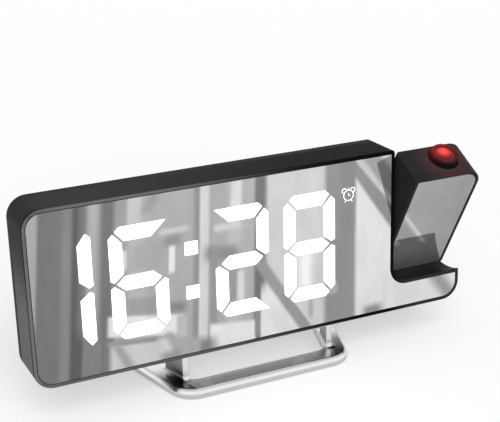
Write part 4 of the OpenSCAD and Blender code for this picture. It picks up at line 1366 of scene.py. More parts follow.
class Finishes:
    """Every material of the clock."""

    def __init__(self) -> None:
        """Makes each finish's material once."""
        effects, recipes = Effects(), self._black() | self._plain() | self._bright()
        self.made = {finish: recipe.make(finish.value, effects)
                     for finish, recipe in recipes.items()}

    def __getitem__(self, finish: Finish) -> Material:
        """The material of a finish."""
        return self.made[finish]

    @staticmethod
    def _black() -> dict[Finish, Recipe]:
        """The black plastics of the case and the projector, the latter in the lens's red light.

        Returns:
            Finish to recipe.
        """
        worn = (0.03, 0.03, 0.032)
        arm_light = RedGlow(LENS.light(), 5.0, 17.0, (0.048, 0.009, 0.010))
        back_light = RedGlow(LENS.light(), 5.0, 15.0, (0.042, 0.006, 0.007))
        ring_light = RedGlow(LENS.light(-0.3, 1.1), 3.4, 6.9, (0.24, 0.003, 0.006))
        return {
            Finish.CASE: Plastic((0.012, 0.012, 0.0125), worn, roughness=0.34, grain_mm=0.004,
                                 shine=0.005, wear=0.4, tones=CasePaintedLight()),
            Finish.CASE_BACK: Plastic((0.020, 0.020, 0.021), worn, roughness=0.42, grain_mm=0.012,
                                      shine=0.012, wear=0.4),
            Finish.ARM: Plastic((0.019, 0.019, 0.020), worn, roughness=0.34, grain_mm=0.004,
                                shine=0.008, wear=0.4, glow=arm_light),
            Finish.ARM_BACK: Plastic((0.020, 0.020, 0.021), worn, roughness=0.42, grain_mm=0.012,
                                     shine=0.012, wear=0.4, glow=back_light),
            Finish.FOCUS_RING: Plastic((0.008, 0.006, 0.006), worn, roughness=0.35,
                                       grain_mm=0.006, shine=0.06, wear=0.3, glow=ring_light)}

    @staticmethod
    def _plain() -> dict[Finish, Recipe]:
        """The other plastics, the rubber and the circuit boards.

        Returns:
            Finish to recipe.
        """
        return {
            Finish.KEY: Plastic((0.018, 0.018, 0.020), (0.06, 0.06, 0.06), roughness=0.5,
                                grain_mm=0.015),
            Finish.KEY_SIGN: Plastic((0.62, 0.62, 0.60), (0.5, 0.5, 0.5), roughness=0.6,
                                     shine=0.3, wear=0.3),
            Finish.FITTING: Plastic((0.018, 0.018, 0.02), (0.04, 0.04, 0.04), roughness=0.55,
                                    grain_mm=0.02),
            Finish.DIFFUSER: Plastic((0.72, 0.72, 0.70), (0.8, 0.8, 0.8), roughness=0.5,
                                     shine=0.5, wear=0.1, scatter=0.2),
            Finish.BUSH: Plastic((0.62, 0.60, 0.54), (0.7, 0.7, 0.66), roughness=0.4, shine=0.5),
            Finish.RUBBER: Plastic((0.02, 0.02, 0.02), (0.05, 0.05, 0.05), roughness=0.85,
                                   grain_mm=0.03),
            Finish.OPTIC: Plastic((0.25, 0.05, 0.05), (0.3, 0.1, 0.1), roughness=0.05,
                                  grain_mm=0.0005, shine=0.8, wear=0.0),
            Finish.BOARD: CircuitBoard()}

    @staticmethod
    def _bright() -> dict[Finish, Recipe]:
        """The metals, the mirrors and what is lit.

        Returns:
            Finish to recipe.
        """
        mirror_light = RedGlow(LENS.light(), 5.0, 12.0, (0.10, 0.0, 0.0))
        return {
            Finish.STAND: StandMetal(), Finish.STEEL: Metal((0.52, 0.52, 0.54), roughness=0.28),
            Finish.BRASS: Metal((0.66, 0.47, 0.20), roughness=0.3),
            Finish.LIT: Glow((1.0, 1.0, 1.0), strength=1.0),
            Finish.LAMP: Glow((1.0, 0.03, 0.02), strength=1.0),
            Finish.CHIP: Glow((1.0, 0.93, 0.75), strength=0.4),
            Finish.LENS: LensGlow(LENS.light(-0.3, 1.1)),
            Finish.CLOCK_MIRROR: MirrorFilm(Body.CLOCK, 0.38, CLOCK_REFLECTION_STEPS, CLOCK_REFLECTION_PATCHES,
                                            fan=0.035, fan_x=0.00075, fade=(0.85, 0.96)),
            Finish.ARM_MIRROR: MirrorFilm(Body.PROJECTOR, 0.345, ARM_REFLECTION_STEPS, ARM_REFLECTION_PATCHES,
                                          glow=mirror_light)}


# ---------------- sub-assemblies

@dataclass
class SubAssembly:
    """A group of pieces that is built and dressed together.

    Args:
        finishes: the clock's materials.
        pieces: names of the pieces that have their finish.
    """

    finishes: Finishes
    pieces: list[str] = field(default_factory=list, init=False)

    def build(self) -> None:
        """Builds and dresses the pieces."""
        raise NotImplementedError

    def dress(self, obj: Piece, finish: Finish, slot: str | None = None) -> None:
        """Gives a piece its one finish and adds its name to the pieces.

        Args:
            obj: the piece.
            finish: its finish.
            slot: not used.
        """
        obj.data.materials.clear()
        obj.data.materials.append(self.finishes[finish])
        self.pieces.append(obj.name)


@dataclass
class ClockCase(SubAssembly):
    """The black case: main housing, rear cover, battery door and their screws.

    Args:
        half_w, height, depth: half width, height and depth of the case.
        shell_d: depth of the main housing.
        corner_r, tip_r: radii of the corners and of the tip above the notch.
        notch_x, notch_r: left side and inner radius of the projector's notch.
        lip_h: height of the ledge under the projector.
        case_ease, door_ease: widths of the eased edges.
        screws, screw_head, screw_seat: places, form and seats of the case screws.
        door: place of the battery door and its width.
        door_screw, door_head, door_seat: place, form and seat of its screw.
        ribs, rib_start, rib_pitch: number, start and spacing of its finger ribs.
        rib_half, rib_w, rib_y: half length, width, and the depths of root and crest.
    """

    half_w: float = 96.0
    height: float = 72.0
    depth: float = 20.5
    shell_d: float = 16.5
    corner_r: float = 8.0
    notch_x: float = 62.6
    lip_h: float = 13.4
    notch_r: float = 6.5
    tip_r: float = 1.4
    case_ease: float = 0.4
    door_ease: float = 0.15
    screws: tuple[Pair, ...] = ((-90.4, 66.4), (-90.4, 5.6), (58.6, 68.0), (90.4, 5.6))
    screw_head: ScrewHead = ScrewHead(r=2.1, h=1.4, shank_r=1.0, shank_l=9.5)
    screw_seat: float = 18.7
    door: Triple = (-66.0, 25.0, 27.0)
    door_screw: Pair = (-55.1, 25.0)
    door_head: ScrewHead = ScrewHead(r=2.0, h=0.8, shank_r=0.9, shank_l=1.8)
    door_seat: float = 19.6
    ribs: int = 5
    rib_start: float = 2.2
    rib_pitch: float = 1.3
    rib_half: float = 4.5
    rib_w: float = 0.5
    rib_y: Pair = (-0.2, 0.25)

    def outline(self, e: float) -> Array:
        """The clock's outline: six arcs and the ledge's tip.

        Args:
            e: how far it moves inwards.

        Returns:
            Array (n, 2) of x and z.
        """
        r, top_r = self.corner_r - e, max(self.tip_r - e, 0.0)
        w, h, c, n = self.half_w, self.height, self.corner_r, self.notch_r
        return np.vstack([
            arc(c - w, c, r, 180, 270), arc(w - c, c, r, 270, 360), [[w - e, self.lip_h - e]],
            arc(self.notch_x + n, self.lip_h + n, n + e, 270, 180),
            arc(self.notch_x - e - top_r, h - e - top_r, top_r, 0, 90),
            arc(c - w, h - c, r, 90, 180)])

    def build(self) -> None:
        """Builds and dresses the case."""
        rear = ((1, self.depth),)
        front = ((1, 0.0),)
        housing = Maker.eased("main_housing", "case_front", Body.CLOCK, front, self.case_ease)
        self.dress(housing, Finish.CASE, "housing")
        cover = Maker.eased("rear_cover", "case_back", Body.CLOCK, rear, self.case_ease,
                            self.shell_d)
        self.dress(cover, Finish.CASE_BACK, "back")
        door = Maker.eased("battery_door", "battery_hatch", Body.CLOCK, rear, self.door_ease)
        self.dress(door, Finish.CASE_BACK, "back")
        self._grips()
        self._screws()

    def _grips(self) -> None:
        """Raised finger ribs beside the door's free edge, each a straight stroke."""
        x, z, w = self.door
        root, crest = (self.depth + y for y in self.rib_y)
        ribs = []
        for k in range(self.ribs):
            rib_x = x - w / 2 + self.rib_start + k * self.rib_pitch
            path = np.stack([np.full(6, rib_x),
                             np.linspace(z - self.rib_half, z + self.rib_half, 6)], axis=-1)
            ribs.append(ribbon(path, self.rib_w, root, crest))
        grip = Maker.piece("hatch_ribs", Surface.joined(ribs).carried(STANCE.clock), Body.CLOCK)
        self.dress(grip, Finish.CASE_BACK, "back")

    def _screws(self) -> None:
        """Cross-head screws of the case and the battery door."""
        case = [self.screw_head.in_back(x, z, self.screw_seat) for x, z in self.screws]
        obj = Maker.piece("case_screws", Surface.joined(case).carried(STANCE.clock), Body.CLOCK)
        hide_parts("housing_screws")
        self.dress(obj, Finish.STEEL, "steel")
        door = self.door_head.in_back(*self.door_screw, self.door_seat)
        obj = Maker.piece("hatch_screw", door.carried(STANCE.clock), Body.CLOCK)
        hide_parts("battery_door_screw")
        self.dress(obj, Finish.STEEL, "steel")


@dataclass
class MirrorFace(SubAssembly):
    """The mirror panel with the lit bars, colon and alarm symbol in its front.

    Args:
        case: the case whose outline the panel follows.
        edge: distance of the panel's side from the case's side.
        front, back, ease: depths of the panel's front and back, and its eased edge.
        digit_w, digit_h: width and height of a digit.
        bar_w, upright_w: thickness of its level and its upright bars.
        bevel, gap: size of its cut corners, and the gap between its bars.
        free_end: height, side and shoulder of the cuts at an upright's free end.
        bar_ease, bar_back: reach of the bars' rounded corners, and depth of their backs.
        pitch, colon_pitch: distance from digit to digit, and from the colon to its digits.
        colon_x, centre_z, dot: place and height of the colon, and side of its dots.
        icon, icon_back, stroke: place, back and stroke width of the alarm symbol.
    """

    case: ClockCase
    edge: float = 1.72
    front: float = 0.03
    back: float = 1.18
    ease: float = 0.05
    digit_w: float = 23.5
    digit_h: float = 46.0
    bar_w: float = 5.9
    upright_w: float = 5.4
    bevel: float = 4.4
    gap: float = 1.05
    free_end: Triple = (1.2, 2.0, 0.3)
    bar_ease: float = 0.3
    bar_back: float = 0.55
    pitch: float = 30.3
    colon_x: float = -29.9
    colon_pitch: float = 21.8
    centre_z: float = 36.9
    dot: float = 5.6
    icon: Pair = (40.4, 56.1)
    icon_back: float = 0.5
    stroke: float = 0.28

    TIME = "1628"
    LIT_BARS = {"1": "bc", "6": "acdefg", "2": "abdeg", "8": "abcdefg"}

    def build(self) -> None:
        """Builds and dresses the panel and everything lit."""
        panel = glass_plate(self.case.outline(self.edge), self.case.outline(self.edge + self.ease),
                            self.front, self.back, self.ease)
        obj = Maker.piece("mirror_glass", panel.carried(STANCE.clock), Body.CLOCK, 20.0)
        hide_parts("mirror_panel")
        self.dress(obj, Finish.CLOCK_MIRROR, "mirror")
        self._lit("time_bars", [self._bar(shape) for shape in self._shapes()], "lit_segments")
        self._lit("bell_symbol", self._symbol(), "alarm_symbol")

    def _lit(self, name: str, parts: list[Surface], node: str) -> None:
        """Makes one lit piece of its parts.

        Args:
            name: the piece's name.
            parts: its parts in the upright clock.
            node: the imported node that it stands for.
        """
        obj = Maker.piece(name, Surface.joined(parts).carried(STANCE.clock), Body.CLOCK)
        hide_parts(node)
        self.dress(obj, Finish.LIT, "lit")

    def _bar(self, shape: Array) -> Surface:
        """A bar from its outline, with slightly rounded corners."""
        soft = softened(shape, self.bar_ease)
        return Surface.from_rings(np.stack([raised(soft, self.bar_back), raised(soft, 0.0)]))

    @property
    def _half(self) -> Triple:
        """Half a digit's width, half its height, and how far a joint's cut moves along x and z."""
        return self.digit_w / 2, self.digit_h / 2, self.gap * 0.36

    def _end(self, free: bool) -> list[list[float]]:
        """The right end of a digit's top bar.

        Args:
            free: whether no upright joins it.

        Returns:
            Its corners (x, z), from the top.
        """
        w, h, off = self._half
        if free:
            return [[w, h], [w - self.bar_w - off, h - self.bar_w]]
        return [[w - self.bevel, h], [w - self.bevel / 2 - off, h - self.bevel / 2 + off],
                [w - self.upright_w - 2 * off, h - self.bar_w]]

    def _top(self, left_free: bool, right_free: bool) -> Array:
        """A digit's top bar, each end free or joined to an upright."""
        left = [[-x, z] for x, z in self._end(left_free)[::-1]]
        return np.array(self._end(right_free) + left)

    def _middle(self) -> Array:
        """A digit's middle bar, with pointed ends.

        Returns:
            Array (6, 2).
        """
        w, _, off = self._half
        end = [[w - self.upright_w - 1.5 * off, self.bar_w / 2], [w - self.bevel / 2 - off, 0.0],
               [w - self.upright_w - 1.5 * off, -self.bar_w / 2]]
        return np.array(end + [[-x, -z] for x, z in end])

    def _upright(self, free: bool) -> Array:
        """A digit's upper right upright.

        Args:
            free: whether no bar joins its top.

        Returns:
            Array (6, 2).
        """
        w, h, off = self._half
        rise, side, shoulder = self.free_end
        if free:
            top = [[w - self.upright_w, h - self.bar_w + rise], [w - side, h - shoulder],
                   [w, h - side]]
        else:
            top = [[w - self.upright_w, h - self.bar_w - 2 * off],
                   [w - self.bevel / 2 + off, h - self.bevel / 2 - off], [w, h - self.bevel]]
        foot = [[w, 1.5], [w - 1.6, 2 * off], [w - self.upright_w, self.bar_w / 2 + 2 * off]]
        return np.array(top + foot)

    def _bars(self, on: set[str]) -> list[Array]:
        """Outlines of a digit's lit bars round its own middle.

        The bars are lettered clockwise from the top one, a to f, with g in the middle.

        Args:
            on: letters of the lit bars.

        Returns:
            The outlines in the order of their letters.
        """
        bars = {
            "a": (self._top("f" not in on, "b" not in on), (1, 1)),
            "b": (self._upright("a" not in on), (1, 1)),
            "c": (self._upright("d" not in on), (1, -1)),
            "d": (self._top("e" not in on, "c" not in on), (1, -1)),
            "e": (self._upright("d" not in on), (-1, -1)),
            "f": (self._upright("a" not in on), (-1, 1)),
            "g": (self._middle(), (1, 1))}
        return [shape * flip for shape, flip in (bars[letter] for letter in sorted(on))]

    def _shapes(self) -> list[Array]:
        """Outlines of every lit bar and of the colon's dots.

        Returns:
            The outlines (x, z), digit by digit, the dots last.
        """
        left = self.colon_x - self.colon_pitch
        right = self.colon_x + self.colon_pitch
        places = (left - self.pitch, left, right, right + self.pitch)
        shapes = [bar + [x, self.centre_z] for digit, x in zip(self.TIME, places)
                  for bar in self._bars(set(self.LIT_BARS[digit]))]
        half = self.dot / 2
        square = np.array([[half, half], [-half, half], [-half, -half], [half, -half]])
        return shapes + [square + [self.colon_x, self.centre_z + side * self.digit_h / 5]
                         for side in (-1, 1)]

    def _symbol(self) -> list[Surface]:
        """A plain round clock of thin strokes: dial, two hands, two bells, a knob and two feet.

        Returns:
            The strokes.
        """
        dial = arc(0, 0, 2.25, 0, 360, 40)[:-1]
        parts = [ribbon(dial + self.icon, self.stroke, 0.0, self.icon_back, closed=True)]
        hands = [np.array([[0.0, 1.0], [0.0, 0.5], [0.0, 0.0]]),
                 np.array([[0.0, 0.0], [0.4, -0.1], [0.8, -0.25]])]
        knob = np.array([[0.0, 2.4], [0.0, 2.8], [0.0, 3.2]])
        strokes = [*hands, knob]
        bell = arc(1.95, 2.05, 1.0, -60, 150, 12)
        foot = np.array([[1.2, -1.9], [1.45, -2.4], [1.7, -2.85]])
        for side in (-1, 1):
            strokes += [bell * [side, 1], foot * [side, 1]]
        return parts + [ribbon(path + self.icon, self.stroke, 0.0, self.icon_back)
                        for path in strokes]


@dataclass
class Projector(SubAssembly):
    """The tilting projector: shells, mirror, focus ring and lens, drawn as it stands closed.

    Args:
        ring_r, ring_low, ring_top: outer radius, foot and top of the focus ring.
        bore_r, lip_r, lip_z: radius of its bore, and radius and underside of its lip.
        flutes, flute_d: number and depth of its flutes.
        lens_r, lens_rim: radius of the lens, and the rim under its dome.
        left, right, low, top: sides, bottom and top of the shells.
        depth, split: depth of both shells, and of the seam between them.
        shell_ease, cover_ease: widths of their eased edges.
        low_r, corner_r, tip_r: radii of the lower left, upper right and other corners.
        inset, low_inset: how far in the mirror's sides are, and how much more its bottom.
        glass_y, glass_ease: depths of the mirror's front and back, and its eased edge.
        screws, screw_head, screw_sink: places, form and sink of the screws.
    """

    ring_r: float = 6.2
    ring_low: float = 67.7
    ring_top: float = 74.4
    bore_r: float = 4.75
    lip_r: float = 4.4
    lip_z: float = 72.9
    flutes: int = 36
    flute_d: float = 0.36
    lens_r: float = 4.38
    lens_rim: float = 0.6
    left: float = 63.1
    right: float = 96.0
    low: float = 13.78
    top: float = 72.0
    depth: float = 17.4
    split: float = 14.6
    shell_ease: float = 0.25
    cover_ease: float = 0.3
    low_r: float = 6.1
    corner_r: float = 8.0
    tip_r: float = 1.0
    inset: float = 1.62
    low_inset: float = 0.62
    glass_y: Pair = (0.03, 1.18)
    glass_ease: float = 0.05
    screws: tuple[Pair, ...] = ((67.3, 67.8), (91.8, 17.98))
    screw_head: ScrewHead = ScrewHead(r=2.1, h=1.4, shank_r=1.0, shank_l=8.0)
    screw_sink: float = 1.7

    def outline(self, e: float, low: float) -> Array:
        """The projector's outline (x, z) moved inwards, as four arcs.

        Args:
            e: how far all sides move inwards.
            low: how much further the bottom does.

        Returns:
            Array (n, 2).
        """
        r, lr, tr = self.corner_r - e, self.low_r - e, max(self.tip_r - e, 0.0)
        return np.vstack([
            arc(self.left + e + lr, self.low + low + lr, lr, 180, 270),
            arc(self.right - e - tr, self.low + low + tr, tr, 270, 360),
            arc(self.right - self.corner_r, self.top - self.corner_r, r, 0, 90),
            arc(self.left + e + tr, self.top - e - tr, tr, 90, 180)])

    def build(self) -> None:
        """Builds and dresses the projector."""
        shell = Maker.eased("arm_shell", "projector_front", Body.PROJECTOR,
                            ((1, 0.0), (2, self.top)), self.shell_ease, self.split)
        self.dress(shell, Finish.ARM, "housing")
        cover = Maker.eased("arm_cover", "projector_back", Body.PROJECTOR,
                            ((1, self.depth), (2, self.top)), self.cover_ease, self.split)
        self.dress(cover, Finish.ARM_BACK, "back")
        self._mirror()
        self._ring()
        self._lens()
        self._screws()

    def _mirror(self) -> None:
        """The projector's own mirror: its outline as a thin plate with an eased front edge."""
        front, back = self.glass_y
        outer, inner = (self.outline(self.inset + e, self.low_inset + e)
                        for e in (0.0, self.glass_ease))
        plate = glass_plate(outer, inner, front, back, self.glass_ease).carried(STANCE.arm)
        obj = Maker.piece("projector_glass", plate, Body.PROJECTOR, 20.0)
        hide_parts("arm_mirror")
        self.dress(obj, Finish.ARM_MIRROR, "mirror")

    def _ring(self) -> None:
        """The knurled focus ring: a profile turned about the lens axis, fluted on its outside."""
        r, top, lip = self.ring_r, self.ring_top, self.lip_r
        outer = np.array([[r - 0.3, self.ring_low], [r, self.ring_low + 0.3], [r, 72.0],
                          [r, 72.3], [r, top - 0.9], [r - 0.1, top - 0.45],
                          [r - 0.35, top - 0.12], [r - 0.7, top]])
        inner = np.array([[lip + 0.5, top], [lip + 0.1, top - 0.25], [lip, top - 0.6],
                          [lip, self.lip_z], [self.bore_r, self.lip_z],
                          [self.bore_r, self.ring_low]])
        profile = np.vstack([outer, inner])
        weight = np.zeros(len(profile))
        weight[3:6] = (0.4, 1.0, 0.8)
        rings = revolved(profile, 288, self.flutes, self.flute_d, weight)
        surface = Surface.from_rings(rings + LENS.axis, round_trip=True)
        ring = Maker.piece("focus_knob", surface.carried(STANCE.arm), Body.FOCUS)
        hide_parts("focus_ring")
        self.dress(ring, Finish.FOCUS_RING, "focus")

    def _lens(self) -> None:
        """The domed lens over a short rim: height 1 times the root of 1 less the squared radius."""
        t = np.linspace(0, np.pi / 2, 14)[:-1]
        dome = np.stack([self.lens_r * np.cos(t), LENS.z + self.lens_rim + np.sin(t)], axis=-1)
        profile = np.vstack([[[self.lens_r - 0.1, LENS.z], [self.lens_r, LENS.z + 0.1]], dome])
        surface = Surface.from_rings(revolved(profile, 72) + LENS.axis)
        lens = Maker.piece("lens_dome", surface.carried(STANCE.arm), Body.FOCUS, 60.0)
        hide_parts("projection_lens")
        self.dress(lens, Finish.LENS, "lens")

    def _screws(self) -> None:
        """The screws in the projector's back."""
        seat = self.depth - self.screw_sink
        heads = Surface.joined([self.screw_head.in_back(x, z, seat) for x, z in self.screws])
        obj = Maker.piece("projector_screws", heads.carried(STANCE.arm), Body.PROJECTOR)
        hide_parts("arm_screws")
        self.dress(obj, Finish.STEEL, "steel")


@dataclass
class MetalStand(SubAssembly):
    """The stand: a bevelled foot plate with an opening, a bent arch on it, its screws and pads.

    Args:
        front_half, depth: half width of the foot at its front edge, and its depth.
        ahead: how far it reaches in front of the clock.
        flare: how far its sides and the legs slant outwards to the back, degrees.
        corner_r, bevel: radius of its corners, and size of its outer bevel.
        low, top: heights of its underside and its top.
        bore_half, bore_y, bore_d: half width, front edge and depth of the opening.
        bore_r, lip_r: radii of the opening's corners and of its rounded edge.
        leg_half, leg_in: half widths over the legs' outer and inner sides.
        arch_y, arch_d: front and depth of the arch.
        plate_t, bend_r, edge_r: thickness of its plate, radii of its bends and edges.
        foot_h, fillet, sink: reach of the legs, their fillets, and how deep they go in.
        pads, pad_r: places and radius of the foot pads.
        screw_head, screw_x, screw_y: form and place of the screws.
    """

    front_half: float = 38.4
    flare: float = 15.0
    ahead: float = 7.0
    depth: float = 52.9
    corner_r: float = 11.0
    low: float = 0.4
    top: float = 4.2
    bevel: float = 1.6
    lip_r: float = 0.7
    bore_half: float = 31.175
    bore_y: float = 2.6
    bore_d: float = 35.3
    bore_r: float = 5.5
    leg_half: float = 34.2
    leg_in: float = 31.6
    arch_y: float = 3.4
    arch_d: float = 12.0
    plate_t: float = 2.2
    bend_r: float = 2.8
    foot_h: float = 11.82
    fillet: float = 2.0
    sink: float = 1.6
    edge_r: float = 0.45
    pads: tuple[Pair, ...] = ((-27.4, -1.8), (27.4, -1.8), (-38.275, 41.9), (38.275, 41.9))
    pad_r: float = 3.1
    screw_head: ScrewHead = ScrewHead(r=3.0, h=1.4, shank_r=1.4, shank_l=5.0)
    screw_x: float = 22.0
    screw_y: float = 8.6

    def build(self) -> None:
        """Builds and dresses the stand."""
        body = Surface.joined([self._foot().carried(STANCE.ground),
                               self._arch().carried(STANCE.clock)])
        stand = Maker.piece("metal_stand", body, Body.CLOCK, 50.0)
        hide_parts("stand")
        self.dress(stand, Finish.STAND, "stand")
        self._pads()
        self._screws()

    def _flared(self, half: float, depth: float, corner: float, start: float, e: float) -> Array:
        """An outline that widens to the back, moved inwards by e.

        Four arcs, tangent to the straight front and back and to the slanted sides.

        Args:
            half: half width at the front edge.
            depth: distance from the front to the back edge.
            corner: radius of its corners.
            start: depth of the front edge.
            e: how far it moves inwards.

        Returns:
            Array (n, 2) of x and y.
        """
        f = self.flare
        s, c, t = (fn(math.radians(f)) for fn in (math.sin, math.cos, math.tan))
        r, front = corner - e, half - corner * (1 - s) / c
        rear = half + depth * t - corner * (1 + s) / c
        y0, y1 = corner + start, depth - corner + start
        return closed_loop([arc(-front, y0, r, 180 + f, 270), arc(front, y0, r, 270, 360 - f),
                            arc(rear, y1, r, -f, 90), arc(-rear, y1, r, 90, 180 + f)], 10)

    def _foot(self) -> Surface:
        """The foot plate: rings from the opening's underside over the top to the outer underside.

        Returns:
            The plate, without caps.
        """
        t = np.linspace(0, np.pi / 2, 6)
        b, top, low = self.bevel, self.top, self.low
        lip = np.stack([self.lip_r * (1 - np.cos(t)), top - self.lip_r * (1 - np.sin(t))], axis=-1)
        inner = np.vstack([[[0.25, low], [0.0, low + 0.25]], lip, [[self.lip_r + 0.3, top]]])
        outer = np.array([[b + 0.8, top], [b + 0.35, top - 0.015], [b, top - 0.09],
                          [b - 0.3, top - 0.28], [0.32, top - b + 0.02], [0.12, top - b - 0.25],
                          [0.02, top - b - 0.6], [0.0, top - b - 0.9], [0.0, low + 0.35],
                          [0.1, low + 0.1], [0.35, low]])
        loops = [(self._flared(self.bore_half, self.bore_d, self.bore_r, self.bore_y, -e), z)
                 for e, z in inner]
        loops += [(self._flared(self.front_half, self.depth, self.corner_r, -self.ahead, e), z)
                  for e, z in outer]
        rings = np.stack([np.column_stack([loop, np.full(len(loop), z)]) for loop, z in loops])
        return Surface.from_rings(rings, round_trip=True)

    def _path(self) -> tuple[Array, Array, Array]:
        """The arch seen from the front, up one leg, along the plate and down the other.

        At the feet the legs grow by r - sqrt(r^2 - h^2), h being the depth below the fillet's top.

        Returns:
            Outer points, inner points (x, z) and the growth at each.
        """
        low, inner_r = -self.foot_h, self.bend_r - self.plate_t
        z = np.concatenate([[low - self.sink], low + self.fillet * np.linspace(0, 1, 9),
                            np.linspace(low + self.fillet + 0.4, -self.bend_r, 8)])
        h = np.clip(self.fillet - (z - low), 0.0, self.fillet)
        grow = self.fillet - np.sqrt(np.maximum(self.fillet ** 2 - h ** 2, 0.0))
        bend_out = arc(-self.leg_half + self.bend_r, -self.bend_r, self.bend_r, 180, 90, 8)[1:]
        bend_in = arc(-self.leg_in + inner_r, -self.plate_t - inner_r, inner_r, 180, 90, 8)[1:]
        middle = np.linspace(bend_out[-1, 0], 0.0, 8)[1:]
        out = np.vstack([np.stack([-self.leg_half - grow, z], -1), bend_out,
                         np.stack([middle, np.zeros_like(middle)], -1)])
        ins = np.vstack([np.stack([np.full_like(z, -self.leg_in), z], -1), bend_in,
                         np.stack([middle, np.full_like(middle, -self.plate_t)], -1)])
        grow = np.concatenate([grow, np.zeros(len(out) - len(grow))])
        out, ins = (np.concatenate([v, (v[:-1] * [-1, 1])[::-1]]) for v in (out, ins))
        return out, ins, np.concatenate([grow, grow[:-1][::-1]])

    def _arch(self) -> Surface:
        """The arch: a rectangle with rounded corners carried along its path.

        Across the section a point lies at out + (in - out) u / t, t being the thickness there; then
        x moves out by the flare, (y - y0) tan f, which fades along the plate towards x = 0, and the
        feet follow the table, z + y tan(lean) at the foot.

        Returns:
            The arch with fan caps inside the foot.
        """
        out, ins, grow = self._path()
        thick = np.linalg.norm(ins - out, axis=1)[:, None]
        y0, y1 = self.arch_y - grow[:, None], self.arch_y + self.arch_d + grow[:, None]
        c, a = self.edge_r, np.radians(np.linspace(0, 90, 5))
        u, y = [], []
        for turn, far, end in ((180, 0, 0), (270, 1, 0), (0, 1, 1), (90, 0, 1)):
            angle = a + math.radians(turn)
            u.append(np.where(far, thick - c, c) + c * np.cos(angle))
            y.append((y1 - c if end else y0 + c) + c * np.sin(angle))
        share, y = (np.concatenate(u, axis=1) / thick)[..., None], np.concatenate(y, axis=1)
        flat = out[:, None] * (1 - share) + ins[:, None] * share
        x, z = flat[..., 0], flat[..., 1]
        slope, rise = (math.tan(math.radians(turn)) for turn in (self.flare, STANCE.lean))
        slant = slope * (y - self.arch_y) * np.clip(x / self.leg_in, -1, 1)
        lift = rise * y * np.clip(-z / self.foot_h, 0, 1)
        return Surface.from_rings(np.stack([x + slant, y, z + lift], axis=-1))

    def _pads(self) -> None:
        """Four rubber pads with rounded lower edges."""
        r = self.pad_r
        rings = revolved(np.array([[r - 0.25, 0.0], [r - 0.07, 0.07], [r, 0.25], [r, 0.85]]), 40)
        parts = [Surface.from_rings(rings + [x, y, 0.0]) for x, y in self.pads]
        pads = Maker.piece("rubber_pads", Surface.joined(parts).carried(STANCE.ground), Body.CLOCK)
        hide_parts("foot_pads")
        self.dress(pads, Finish.RUBBER, "pads")

    def _screws(self) -> None:
        """Two screws up through the arch's plate, heads down."""
        head = self.screw_head.surface()
        seats = [(side * self.screw_x, self.screw_y, -self.plate_t) for side in (-1, 1)]
        parts = [head.carried(lambda p, seat=seat: p * [1, 1, -1] + seat) for seat in seats]
        obj = Maker.piece("arch_screws", Surface.joined(parts).carried(STANCE.clock), Body.CLOCK)
        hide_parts("stand_screws")
        self.dress(obj, Finish.STEEL, "steel")


